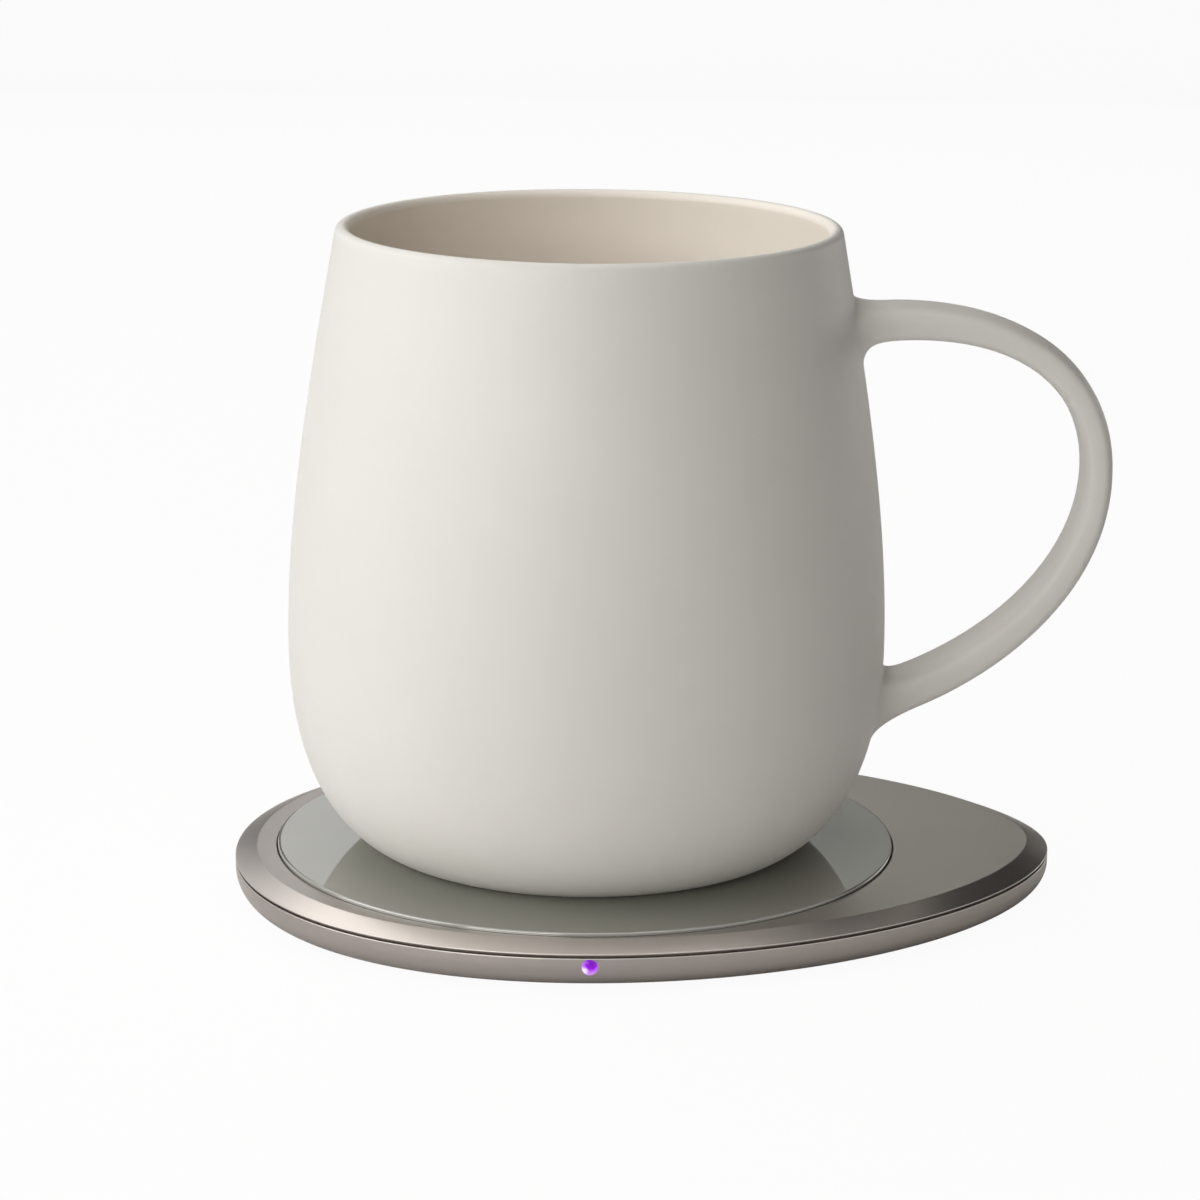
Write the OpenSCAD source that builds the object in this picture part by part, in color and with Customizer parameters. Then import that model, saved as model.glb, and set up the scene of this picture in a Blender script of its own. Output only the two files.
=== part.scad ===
// Self-heating mug standing on its induction warming pad.
// Millimetres, +Z up. The origin is on the mug's axis, on the surface that the pad stands on.
// +X points along the handle and -Y is the front, where the lamp is.

/* [Mug] */
// Height of the mug from foot to lip
mug_h = 94.4; // [88:0.1:110]
// Widest diameter of the mug, at the belly
belly_d = 90; // [84:0.5:100]
// Height of the belly above the foot
belly_z = 32.2; // [28:0.1:38]
// Outer diameter of the mug at the rim
rim_d = 75.2; // [70:0.1:82]
// Lean of the wall at the rim, from upright
rim_lean = 10; // [5:0.5:14]
// Diameter of the flat foot
foot_d = 60.8; // [54:0.1:68]
// Slope of the wall where it leaves the foot
foot_slope = 18; // [12:1:28]
// Fullness of the curve above the foot
foot_pull = 5.1; // [3:0.1:8]
// Fullness of the curve below the belly
belly_pull_low = 23.8; // [18:0.1:27]
// Fullness of the curve above the belly
belly_pull_top = 18.8; // [12:0.1:26]
// Fullness of the curve below the rim
rim_pull = 22.6; // [14:0.1:30]
// Wall thickness at the belly
wall_t = 3; // [2.4:0.1:4]
// Wall thickness at the lip
lip_t = 2.2; // [1.6:0.1:3]
// Thickness of the floor over the heater
floor_t = 3.2; // [2.4:0.1:5]
// Diameter of the flat part of the floor inside
floor_d = 48; // [40:0.5:56]
// Fullness of the inside corner along the floor
corner_pull = 12.8; // [8:0.1:14]
// Fullness of the inside corner up the wall
corner_rise = 7; // [4:0.1:10]

/* [Handle] */
// Depth of the upper root's middle below the lip
handle_top_drop = 15.5; // [11:0.1:20]
// Rise of the handle where it leaves the upper root
handle_top_tilt = 10.8; // [5:0.1:15]
// How far the handle's middle line stands out from the belly
handle_reach = 31.2; // [26:0.1:38]
// Depth of the outermost point below the lip
handle_reach_drop = 36.5; // [32:0.1:42]
// Height of the lower root's middle above the foot
handle_low_z = 21.8; // [18:0.1:27]
// Fall of the handle towards the lower root
handle_low_slope = 12.2; // [6:0.1:18]
// Fullness of the curve at the upper root
handle_top_pull = 25.3; // [20:0.1:30]
// Fullness of the curve above the outermost point
handle_side_pull_top = 15.8; // [12:0.1:20]
// Fullness of the curve below the outermost point
handle_side_pull_low = 19.6; // [14:0.1:24]
// Fullness of the curve at the lower root
handle_low_pull = 14.5; // [10:0.1:20]
// Width of the handle, across the finger
handle_w = 10.5; // [8:0.1:14]
// Thickness of the handle near the upper root
handle_t_top = 4.6; // [3.6:0.1:7]
// Thickness of the handle at its outermost point
handle_t_mid = 4.5; // [3.5:0.1:6]
// Thickness of the handle near the lower root
handle_t_low = 6.2; // [4.5:0.1:8]
// Roundness of the handle's section, from softly squared to oval
handle_round = 0.6; // [0.5:0.05:1]
// How much each root swells where it meets the cup
root_swell = 2.4; // [1:0.1:4]
// Length over which a root swells
root_l = 7; // [5:0.5:10]

/* [Pad] */
// Length of the pad
pad_l = 124.8; // [112:0.1:142]
// Width of the pad
pad_w = 101.8; // [90:0.1:114]
// Distance from the middle of the pad to the mug's axis
pad_shift = 9; // [6:0.1:12]
// How much the far end of the pad is narrower than the near end
pad_taper = 1.9; // [0.5:0.1:2.5]
// Turn of the pad's long axis from the handle's direction
pad_turn = 4.6; // [-10:0.1:10]
// Height of the glass above the table
pad_h = 8; // [7.2:0.1:10]
// Height of the metal above the table
foot_h = 1; // [0.9:0.1:1.4]
// Height of the lower shell
shell_h = 4.5; // [4:0.1:5]
// Height of the seam between lower shell and cover
seam_h = 0.4; // [0.3:0.05:0.6]
// Depth of the gasket behind the shell's edge
seam_depth = 0.7; // [0.4:0.1:1]
// Width of the sloped edge of the cover
slope_w = 3.2; // [2:0.1:4.5]
// Height of the upright band below the sloped edge
band_h = 0.2; // [0.1:0.05:0.3]
// Width of the rounding under the lower shell
under_w = 2.8; // [2:0.1:3.2]
// Height of the rounding under the lower shell
under_h = 3.5; // [2.5:0.1:4]
// Wall thickness of the lower shell
shell_wall = 2.2; // [1.8:0.1:2.6]
// Width of the flange inside the lower shell, measured from the edge
flange_w = 9; // [8:0.1:10]
// Thickness of the flange
flange_t = 0.8; // [0.6:0.1:1]
// Depth of the lip that centres the cover in the lower shell
cover_lip_h = 0.45; // [0.3:0.05:0.6]
// Width of the lip that centres the cover in the lower shell
cover_lip_w = 1.2; // [0.8:0.1:1.6]

/* [Glass] */
// Least width of flat metal between the sloped edge and the glass
glass_rim = 0.5; // [0.3:0.1:6]
// Thickness of the glass disc
glass_t = 2; // [1.6:0.1:2.2]
// How far the glass stands above the metal
glass_proud = 0.55; // [0.3:0.05:0.7]
// Rounding of the glass edge
glass_round = 0.45; // [0.2:0.05:0.5]
// Width of the ledge under the glass
ledge_w = 3.5; // [3:0.1:4.5]
// Thickness of the ledge
ledge_t = 0.8; // [0.6:0.1:1]
// Wall round the ledge, under the cover
ledge_wall = 0.9; // [0.6:0.1:1.2]
// Thickness of the glue ring on the ledge
glue_t = 0.2; // [0.1:0.05:0.3]

/* [Underside] */
// Thickness of the bottom plate
plate_t = 0.6; // [0.5:0.05:0.8]
// Distance of the bottom plate's edge from the pad's edge
plate_inset = 3.9; // [3.5:0.1:4.4]
// Distance of the foot mat's edge from the pad's edge
mat_inset = 9.5; // [8.5:0.1:14]
// Distance of the screws from the pad's edge
screw_inset = 6.3; // [5.7:0.1:6.9]
// Diameter of the screws
screw_d = 1.9; // [1.6:0.1:2.2]
// Length of the screws under the head
screw_l = 3.6; // [3:0.1:4]
// Diameter of the screw heads
screw_head_d = 3.6; // [3:0.1:4]
// Height of the screw heads
screw_head_h = 0.6; // [0.4:0.05:0.7]
// Diameter of the bosses that the screws bite into
boss_d = 4; // [3.4:0.1:4.4]

/* [Power coil] */
// Thickness of the coil tray's floor
tray_floor_t = 0.6; // [0.5:0.05:0.8]
// Least gap between the coil tray and the flange
tray_gap = 0.5; // [0.3:0.1:3]
// Width of the coil tray's rim
tray_rim_w = 1.5; // [1:0.1:2]
// Least room between the coil and the tray's rim
coil_room = 0.6; // [0.4:0.1:1.2]
// Thickness of the ferrite sheet
ferrite_t = 0.8; // [0.6:0.05:1]
// Radius of the innermost turn of the power coil
coil_r = 10; // [7:0.1:14]
// Distance from turn to turn of the power coil
coil_pitch = 2.3; // [2.05:0.05:3]
// Width of the power coil's conductor
coil_wire_w = 1.6; // [1:0.05:1.85]
// Height of the power coil's conductor
coil_wire_h = 1.4; // [0.8:0.05:1.5]
// Thickness of the insulating disc over the coil
insulator_t = 0.4; // [0.2:0.05:0.5]
// Width of the coil leads
lead_w = 1.2; // [0.8:0.1:1.4]
// Thickness of the coil leads
lead_t = 0.5; // [0.3:0.05:0.55]
// Length of the coil leads over the circuit board
lead_overlap = 2.4; // [1.5:0.1:4]
// Diameter of the temperature sensor
sensor_d = 6; // [4:0.5:8]

/* [Electronics] */
// Thickness of the circuit board
board_t = 0.8; // [0.6:0.1:1]
// Length of the circuit board past the inlet
board_tail = 4; // [2:0.5:10]
// Gap between the coil tray and the circuit board
board_gap = 0.9; // [0.7:0.1:1.2]
// Gap between the circuit board and the lower shell's wall
board_edge_gap = 0.6; // [0.3:0.1:0.8]
// Gap between the parts on the board and the wall under the glass
part_gap = 0.6; // [0.4:0.1:1]
// Size of the control chip
chip_w = 7; // [5:0.5:8]
// Height of the control chip
chip_h = 1.2; // [0.8:0.1:1.6]
// Length of each capacitor
cap_l = 7.2; // [5:0.1:8]
// Width of each capacitor
cap_w = 4.5; // [3:0.1:5]
// Height of each capacitor
cap_h = 1.9; // [1.2:0.1:2.2]
// Size of the choke
choke_w = 8; // [6:0.1:9]
// Height of the choke
choke_h = 2; // [1.4:0.1:2.3]

/* [Inlet] */
// Direction of the power inlet from the pad's long axis
inlet_angle = 70; // [64:1:76]
// Outer width of the inlet's metal shell
inlet_w = 8.94; // [8.9:0.01:9]
// Outer height of the inlet's metal shell
inlet_h = 3.16; // [3.1:0.01:3.2]
// Wall of the inlet's metal shell
inlet_wall = 0.3; // [0.25:0.01:0.35]
// Depth of the inlet's metal shell
inlet_depth = 7.3; // [6.5:0.1:8]
// Depth of the inlet's mouth behind the pad's edge
inlet_back = 1.1; // [0.9:0.1:1.4]
// Gap between the inlet and the bottom plate
inlet_rise = 0.15; // [0.1:0.05:0.25]
// Width of the two wings that hold the inlet on the board
wing_w = 1.2; // [0.8:0.1:1.6]
// Thickness of the two wings
wing_t = 0.3; // [0.2:0.05:0.4]
// Width of the contact tongue
tongue_w = 6.7; // [6.2:0.1:6.8]
// Thickness of the contact tongue
tongue_t = 0.7; // [0.6:0.05:0.8]
// Length of the contact tongue
tongue_l = 4.5; // [4:0.1:5]

/* [Lamp] */
// Direction of the lamp from the pad's long axis
lamp_angle = -93.7; // [-105:0.1:-85]
// Diameter of the lamp's lens
lens_d = 2.3; // [1.8:0.1:2.4]
// How far the lens stands out of the lower shell
lens_proud = 0.2; // [0:0.05:0.4]
// Depth of the lens's dome
lens_dome = 0.35; // [0.2:0.05:0.6]
// Depth of the lamp's middle below the lower shell's top
lamp_drop = 1.35; // [1.3:0.05:1.6]
// Width of the lamp board
lamp_board_w = 6; // [5:0.5:8]
// Thickness of the lamp board
lamp_board_t = 0.5; // [0.4:0.1:0.8]
// Size of the lamp chip
lamp_chip = 1; // [0.8:0.1:1.2]
// Thickness of the lamp chip
lamp_chip_t = 0.6; // [0.4:0.1:0.8]
// Thickness of the lamp flex
flex_t = 0.2; // [0.15:0.05:0.3]
// Height of the lamp flex
flex_h = 1.6; // [1:0.1:1.8]

/* [Heater in the mug] */
// Depth of the base cover above the foot
cover_up = 0.5; // [0.3:0.1:1]
// Thickness of the base cover
base_cover_t = 1.2; // [1:0.1:1.6]
// Thickness of the base seal
seal_t = 0.4; // [0.3:0.05:0.6]
// Width of the step that the base seal presses on
seal_step = 1.5; // [1:0.1:2]
// How far the base seal reaches in past the step
seal_reach = 0.6; // [0.3:0.1:0.8]
// Room between the receiver coil and the base seal
rx_room = 0.5; // [0.3:0.1:0.8]
// Radius of the innermost turn of the receiver coil
rx_r = 9; // [7:0.1:10.5]
// Number of turns of the receiver coil
rx_turns = 7; // [5:1:7]
// Distance from turn to turn of the receiver coil
rx_pitch = 1.9; // [1.65:0.05:2.1]
// Width of the receiver coil's conductor
rx_wire_w = 1.2; // [0.8:0.05:1.45]
// Height of the receiver coil's conductor
rx_wire_h = 1; // [0.7:0.05:1.2]
// Thickness of the receiver ferrite
rx_ferrite_t = 0.8; // [0.6:0.05:1]
// Thickness of the insulating sheet under the heater
sheet_t = 0.8; // [0.5:0.05:1]
// Thickness of the heater film
film_t = 0.4; // [0.3:0.05:0.6]
// Thickness of the heater track
track_t = 0.2; // [0.1:0.05:0.3]
// Width of the heater track
track_w = 2; // [1.2:0.1:2.2]
// Number of turns of the heater track
track_turns = 6; // [4:1:6]
// Thickness of the thermal pad between heater and ceramic
thermal_t = 0.7; // [0.4:0.05:1]
// Diameter of the thermal cut-off
cutoff_d = 7; // [5:0.1:8]
// Diameter of the connecting pins
pin_d = 0.9; // [0.6:0.1:1]

/* [Fits] */
// Gap between pieces that drop into one another
fit_gap = 0.2; // [0.1:0.05:0.3]
// Gap round the inlet and the lens
close_gap = 0.05; // [0.03:0.01:0.1]
// Gap round a screw in its tapped hole
thread_gap = 0.05; // [0.03:0.01:0.1]
// Gap round a screw where it passes through
screw_gap = 0.2; // [0.15:0.05:0.3]

/* [Hidden] */
$fn = 96;

// Colours
metal_colour = [0.62, 0.57, 0.54];
ceramic_colour = [0.93, 0.92, 0.89];
glass_colour = [0.84, 0.86, 0.81];
copper_colour = [0.72, 0.45, 0.2];
ferrite_colour = [0.25, 0.25, 0.27];
board_colour = [0.1, 0.35, 0.2];
chip_colour = [0.12, 0.12, 0.13];
rubber_colour = [0.2, 0.2, 0.2];
sheet_colour = [0.85, 0.75, 0.5];
plastic_colour = [0.3, 0.3, 0.32];
steel_colour = [0.75, 0.75, 0.77];
lamp_colour = [0.6, 0.1, 0.9];

// Steps along curves
pad_sides = 96;
under_steps = 6;
curve_steps = 12;
lip_steps = 8;
handle_rings = 44;
handle_sides = 20;
turn_steps = 24;
round_steps = 4;
dome_steps = 5;
short_step = 0.001;
past = 1;

// Outline of the pad: its reach from the mug's axis, square to each direction
reach_mean = (pad_l + pad_w) / 4;
reach_long = (pad_l - pad_w) / 4;
reach_shift = pad_shift - pad_taper;
function pad_reach(a) =
    reach_mean + reach_shift * cos(a) + reach_long * cos(2 * a) + pad_taper * cos(3 * a);
function pad_drift(a) =
    -reach_shift * sin(a) - 2 * reach_long * sin(2 * a) - 3 * pad_taper * sin(3 * a);
function pad_point(a, inset) = [
    (pad_reach(a) - inset) * cos(a) - pad_drift(a) * sin(a),
    (pad_reach(a) - inset) * sin(a) + pad_drift(a) * cos(a)
];
pad_angles = [for (i = [0 : pad_sides - 1]) i * 360 / pad_sides];
function pad_outline(inset) = [for (a = pad_angles) pad_point(a, inset)];

// Radius of the largest round that the pad holds about the mug's axis
pad_round_r = min([for (a = pad_angles) pad_reach(a)]);

// Heights in the pad, from the table up
plate_top = foot_h + plate_t;
flange_top = plate_top + flange_t;
shell_top = foot_h + shell_h;
cover_low = shell_top + seam_h;
cover_top = pad_h - glass_proud;
glass_low = pad_h - glass_t;
ledge_top = glass_low - glue_t;
ledge_low = ledge_top - ledge_t;
lip_low = cover_low - cover_lip_h;
tray_top = plate_top + tray_floor_t;
ferrite_top = tray_top + ferrite_t;
coil_top = ferrite_top + coil_wire_h;
board_low = flange_top;
board_top = board_low + board_t;

// Radii in the pad
pocket_r = pad_round_r - slope_w - glass_rim;
glass_r = pocket_r - fit_gap;
window_r = glass_r - ledge_w;
ledge_r = pocket_r + ledge_wall;
tray_r = pad_round_r - flange_w - tray_gap;
tray_in_r = tray_r - tray_rim_w;
coil_turns = floor((tray_in_r - coil_room - coil_wire_w / 2 - coil_r) / coil_pitch);
coil_out_r = coil_r + coil_turns * coil_pitch;
ferrite_r = tray_in_r - fit_gap;
sensor_hole_r = sensor_d / 2 + fit_gap;
board_in_r = tray_r + board_gap;

// Places in the pad
lip_inset = shell_wall + fit_gap;
board_inset = shell_wall + board_edge_gap;
shell_screw_angles = [145, 215];
board_screw_angles = [50, 310];
screw_angles = concat(shell_screw_angles, board_screw_angles);
coil_end_angle = 6;
lead_reach = board_in_r + lead_overlap;
chip_angles = [-17, 15];
small_chip = 0.7;
cap_angles = [-40, -30, 32];

// Inlet, seated just above the bottom plate
inlet_mid = plate_top + inlet_rise + inlet_h / 2;
board_start = pad_point(inlet_angle, inlet_depth)[0] - inlet_w / 2 - wing_w - board_tail;

// Lamp, stacked inwards from the wall
lamp_z = shell_top - lamp_drop;
chip_face = shell_wall + fit_gap;
lamp_board_face = chip_face + lamp_chip_t;
lamp_board_top = lamp_z + lamp_chip / 2;

// Heights in the mug, from its foot up
cover_upper = cover_up + base_cover_t;
step_z = cover_upper + seal_t;
rx_top = cover_upper + rx_wire_h;
rx_ferrite_top = rx_top + rx_ferrite_t;
sheet_top = rx_ferrite_top + sheet_t;
film_top = sheet_top + film_t;
track_top = film_top + track_t;
recess_h = track_top + thermal_t;
floor_z = recess_h + floor_t;

// Radii in the mug
belly_r = belly_d / 2;
rim_r = rim_d / 2;
foot_r = foot_d / 2;
rx_out_r = rx_r + rx_turns * rx_pitch;
seal_in_r = rx_out_r + rx_wire_w / 2 + rx_room;
recess_r = seal_in_r + seal_reach;
seat_r = recess_r + seal_step;
cover_r = seat_r - fit_gap;
stack_r = recess_r - fit_gap;
cutoff_r = cutoff_d / 2;
core_r = cutoff_r + fit_gap;
track_r = core_r + track_w / 2;
track_pitch = (stack_r - fit_gap - track_w / 2 - track_r) / track_turns;

// Curves
function mix(a, b, t) = a * (1 - t) + b * t;
function bezier(p, t) =
    p[0] * pow(1 - t, 3) + 3 * p[1] * pow(1 - t, 2) * t + 3 * p[2] * (1 - t) * t * t + p[3] * pow(t, 3);
function curve(p, steps) = [for (i = [0 : steps]) bezier(p, i / steps)];
function but_first(list) = [for (i = [1 : len(list) - 1]) list[i]];

// Section of the mug's wall
lip_r = lip_t / 2;
rim_z = mug_h - lip_r * (1 - sin(rim_lean));
rim_in = [rim_r - lip_t * cos(rim_lean), rim_z - lip_t * sin(rim_lean)];
rim_out = [rim_r, rim_z];
rim_down = [sin(rim_lean), -cos(rim_lean)];
belly_in_r = belly_r - wall_t;
outer_low = [
    [foot_r, 0],
    [foot_r + foot_pull * cos(foot_slope), foot_pull * sin(foot_slope)],
    [belly_r, belly_z - belly_pull_low],
    [belly_r, belly_z]
];
outer_top = [
    [belly_r, belly_z],
    [belly_r, belly_z + belly_pull_top],
    rim_out + rim_pull * rim_down,
    rim_out
];
inner_top = [
    rim_in,
    rim_in + rim_pull * rim_down,
    [belly_in_r, belly_z + belly_pull_top],
    [belly_in_r, belly_z]
];
inner_low = [
    [belly_in_r, belly_z],
    [belly_in_r, floor_z + corner_rise],
    [floor_d / 2 + corner_pull, floor_z],
    [floor_d / 2, floor_z]
];
outer_curve = concat(curve(outer_low, curve_steps), but_first(curve(outer_top, curve_steps)));
lip_mid = (rim_in + rim_out) / 2;
lip_curve = [
    for (i = [1 : lip_steps - 1])
        let (a = rim_lean + 180 * i / lip_steps)
            lip_mid + lip_r * [cos(a), sin(a)]
];
inner_curve = concat(curve(inner_top, curve_steps), but_first(curve(inner_low, curve_steps)));

// Radius of the cup's outside at a height above its foot
function cup_r(z) = lookup(z, [for (p = outer_curve) [p[1], p[0]]]);

// Middle line of the handle, in the upright plane of the mug's axis
handle_top_z = mug_h - handle_top_drop;
handle_out = [belly_r + handle_reach, mug_h - handle_reach_drop];
handle_top = [cup_r(handle_top_z) - wall_t, handle_top_z];
handle_low = [cup_r(handle_low_z) - wall_t, handle_low_z];
handle_upper_half = [
    handle_top,
    handle_top + handle_top_pull * [cos(handle_top_tilt), sin(handle_top_tilt)],
    handle_out + [0, handle_side_pull_top],
    handle_out
];
handle_lower_half = [
    handle_out,
    handle_out - [0, handle_side_pull_low],
    handle_low + handle_low_pull * [cos(handle_low_slope), sin(handle_low_slope)],
    handle_low
];
function handle_mid(s) =
    s < 0.5 ? bezier(handle_upper_half, 2 * s) : bezier(handle_lower_half, 2 * s - 1);
function handle_way(s) =
    let (d = handle_mid(min(1, s + short_step)) - handle_mid(max(0, s - short_step)))
        d / norm(d);
function handle_t(s) =
    s < 0.5 ? mix(handle_t_top, handle_t_mid, 2 * s) : mix(handle_t_mid, handle_t_low, 2 * s - 1);
function root_near(s) =
    let (p = handle_mid(s), d = min(norm(p - handle_top), norm(p - handle_low)) - wall_t)
        pow(max(0, 1 - max(0, d) / root_l), 2);
function squared(v) = sign(v) * pow(abs(v), handle_round);
function handle_ring(s) =
    let (
        p = handle_mid(s),
        w = handle_way(s),
        half_t = (handle_t(s) + root_swell * root_near(s)) / 2,
        half_w = (handle_w + root_swell * root_near(s)) / 2
    )
        [for (k = [0 : handle_sides - 1])
            let (
                a = 360 * k / handle_sides,
                out = half_t * squared(cos(a)),
                side = half_w * squared(sin(a))
            )
                [p[0] - w[1] * out, side, p[1] + w[0] * out]];

// Flat spiral conductor: one unbroken winding
function spiral_r(a, r0, pitch) = r0 + pitch * a / 360;
function spiral_point(a, r0, pitch, side) = (spiral_r(a, r0, pitch) + side) * [cos(a), sin(a)];
function spiral_angles(end) = [for (i = [0 : round(end * turn_steps / 360)]) i * 360 / turn_steps];
function spiral_edge(end, r0, pitch, side) =
    concat([for (a = spiral_angles(end)) if (a < end) spiral_point(a, r0, pitch, side)],
        [spiral_point(end, r0, pitch, side)]);
function reversed(list) = [for (i = [len(list) - 1 : -1 : 0]) list[i]];
function spiral_gap(end, r0, pitch, w) = min([
    for (a = spiral_angles(end - 360))
        norm(spiral_point(a, r0, pitch, w / 2) - spiral_point(a + 360, r0, pitch, -w / 2))
]);
coil_end = 360 * coil_turns + coil_end_angle;
rx_end = 360 * rx_turns;
track_end = 360 * track_turns;
echo(power_coil_gap = spiral_gap(coil_end, coil_r, coil_pitch, coil_wire_w));
echo(receiver_coil_gap = spiral_gap(rx_end, rx_r, rx_pitch, rx_wire_w));
echo(heater_track_gap = spiral_gap(track_end, track_r, track_pitch, track_w));

// Building blocks

module on_pad() {
    rotate([0, 0, pad_turn])
        children();
}

module on_mug() {
    translate([0, 0, pad_h])
        children();
}

module disc(r, z0, z1) {
    translate([0, 0, z0])
        cylinder(r = r, h = z1 - z0);
}

module washer(r_in, r_out, z0, z1) {
    difference() {
        disc(r_out, z0, z1);
        disc(r_in, z0 - past, z1 + past);
    }
}

module pad_slab(inset, z0, z1) {
    translate([0, 0, z0])
        linear_extrude(height = z1 - z0)
            polygon(pad_outline(inset));
}

module pad_band(inset_out, inset_in, z0, z1) {
    translate([0, 0, z0])
        linear_extrude(height = z1 - z0)
            difference() {
                polygon(pad_outline(inset_out));
                polygon(pad_outline(inset_in));
            }
}

// Solid through rings of equal point count, closed at both ends
module skin(rings) {
    n = len(rings[0]);
    last = len(rings) - 1;
    sides = [
        for (j = [0 : last - 1], i = [0 : n - 1])
            let (a = j * n + i, b = j * n + (i + 1) % n)
                each [[a, a + n, b], [b, a + n, b + n]]
    ];
    start = [for (i = [0 : n - 1]) i];
    end = [for (i = [n - 1 : -1 : 0]) last * n + i];
    polyhedron(points = [for (r = rings) each r], faces = concat([start], sides, [end]));
}

// Skin through pad outlines, each given as its inset and height
module pad_skin(levels) {
    skin([for (v = levels) [for (p = pad_outline(v[0])) [p[0], p[1], v[1]]]]);
}

module spiral(end, r0, pitch, w, z0, z1) {
    translate([0, 0, z0])
        linear_extrude(height = z1 - z0)
            polygon(concat(
                spiral_edge(end, r0, pitch, w / 2),
                reversed(spiral_edge(end, r0, pitch, -w / 2))
            ));
}

module at_screws(angles) {
    for (a = angles)
        translate(pad_point(a, screw_inset))
            children();
}

// At the pad's edge, with +X pointing straight out of it
module at_edge(a) {
    translate(pad_point(a, 0))
        rotate([0, 0, a])
            children();
}

// Slot with round ends, w across and h high, from x0 to x1
module slot_bar(w, h, x0, x1) {
    translate([x0, 0, 0])
        rotate([90, 0, 90])
            linear_extrude(height = x1 - x0)
                union() {
                    square([w - h, h], center = true);
                    for (s = [-1, 1])
                        translate([s * (w - h) / 2, 0])
                            circle(d = h);
                }
}

module box(x0, x1, y0, y1, z0, z1) {
    translate([x0, y0, z0])
        cube([x1 - x0, y1 - y0, z1 - z0]);
}

// Bar along X, w wide and centred on the X axis
module bar(x0, x1, w, z0, z1) {
    box(x0, x1, -w / 2, w / 2, z0, z1);
}

// Pad

module top_cover() {
    lamp_back = -lamp_board_face - lamp_board_t - fit_gap;
    color(metal_colour)
        on_pad()
            difference() {
                union() {
                    pad_skin([[0, cover_low], [0, cover_low + band_h], [slope_w, cover_top]]);
                    pad_band(lip_inset, lip_inset + cover_lip_w, lip_low, cover_low);
                    disc(ledge_r, ledge_low, cover_low);
                    at_screws(shell_screw_angles)
                        disc(boss_d / 2, flange_top, cover_low);
                    at_screws(board_screw_angles)
                        disc(boss_d / 2, board_top, cover_low);
                }
                disc(pocket_r, ledge_top, pad_h + past);
                disc(window_r, ledge_low - past, pad_h);
                at_screws(screw_angles)
                    disc(screw_d / 2 + thread_gap, flange_top - past, foot_h + screw_l + fit_gap);
                at_edge(inlet_angle)
                    translate([0, 0, inlet_mid])
                        slot_bar(inlet_w + 2 * fit_gap, inlet_h + 2 * fit_gap, -inlet_depth - fit_gap, past);
                at_edge(lamp_angle)
                    bar(lamp_back, past, lamp_board_w + 2 * fit_gap, flange_top, lamp_board_top + fit_gap);
            }
}

module base_shell() {
    under = [
        for (i = [under_steps : -1 : 0])
            let (a = 90 * i / under_steps)
                [under_w * (1 - cos(a)), foot_h + under_h * (1 - sin(a))]
    ];
    color(metal_colour)
        on_pad()
            difference() {
                pad_skin(concat(under, [[0, shell_top]]));
                pad_slab(shell_wall, flange_top, shell_top + past);
                pad_slab(flange_w, foot_h, flange_top + past);
                pad_slab(plate_inset - fit_gap / 2, foot_h - past, plate_top);
                at_screws(screw_angles)
                    disc(screw_d / 2 + screw_gap, foot_h, flange_top + past);
                at_edge(inlet_angle)
                    translate([0, 0, inlet_mid])
                        slot_bar(inlet_w + 2 * close_gap, inlet_h + 2 * close_gap, -flange_w - past, past);
                at_edge(lamp_angle)
                    translate([past, 0, lamp_z])
                        rotate([0, -90, 0])
                            cylinder(d = lens_d + 2 * close_gap, h = shell_wall + 2 * past);
            }
}

module seam_gasket() {
    color(rubber_colour)
        on_pad()
            pad_band(seam_depth, shell_wall, shell_top, cover_low);
}

module glass_disc() {
    color(glass_colour)
        rotate_extrude()
            polygon(concat(
                [[0, glass_low], [glass_r, glass_low]],
                [for (i = [0 : round_steps])
                    let (a = 90 * i / round_steps)
                        [glass_r - glass_round * (1 - cos(a)), pad_h - glass_round * (1 - sin(a))]],
                [[0, pad_h]]
            ));
}

module glass_glue() {
    color(rubber_colour)
        washer(window_r + fit_gap, glass_r - fit_gap, ledge_top, glass_low);
}

module bottom_plate() {
    color(plastic_colour)
        on_pad()
            difference() {
                pad_slab(plate_inset, foot_h, plate_top);
                at_screws(screw_angles)
                    disc(screw_d / 2 + screw_gap, foot_h - past, plate_top + past);
            }
}

module foot_mat() {
    color(rubber_colour)
        on_pad()
            pad_slab(mat_inset, 0, foot_h);
}

module bottom_screws() {
    slot_w = screw_head_d / 6;
    slot_l = 0.6 * screw_head_d;
    head_low = foot_h - screw_head_h;
    slot_top = head_low + screw_head_h / 2;
    color(steel_colour)
        on_pad()
            at_screws(screw_angles)
                difference() {
                    union() {
                        disc(screw_head_d / 2, head_low, foot_h);
                        disc(screw_d / 2, slot_top, foot_h + screw_l);
                    }
                    for (a = [0, 90])
                        rotate([0, 0, a])
                            bar(-slot_l / 2, slot_l / 2, slot_w, head_low - past, slot_top);
                }
}

module coil_tray() {
    notch_w = 3 * lead_w;
    notch_y = coil_out_r * sin(coil_end_angle);
    color(plastic_colour)
        on_pad()
            difference() {
                disc(tray_r, plate_top, coil_top);
                disc(tray_in_r, tray_top, coil_top + past);
                box(0, tray_r + past, -notch_w / 2, notch_y + notch_w / 2, tray_top, coil_top + past);
            }
}

module ferrite_sheet() {
    slot_w = lead_w + 2 * fit_gap;
    color(ferrite_colour)
        on_pad()
            difference() {
                disc(ferrite_r, tray_top, ferrite_top);
                disc(sensor_hole_r, tray_top - past, ferrite_top + past);
                bar(0, ferrite_r + past, slot_w, tray_top - past, ferrite_top + past);
            }
}

module power_coil() {
    color(copper_colour)
        on_pad()
            spiral(coil_end, coil_r, coil_pitch, coil_wire_w, ferrite_top, coil_top);
}

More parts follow.
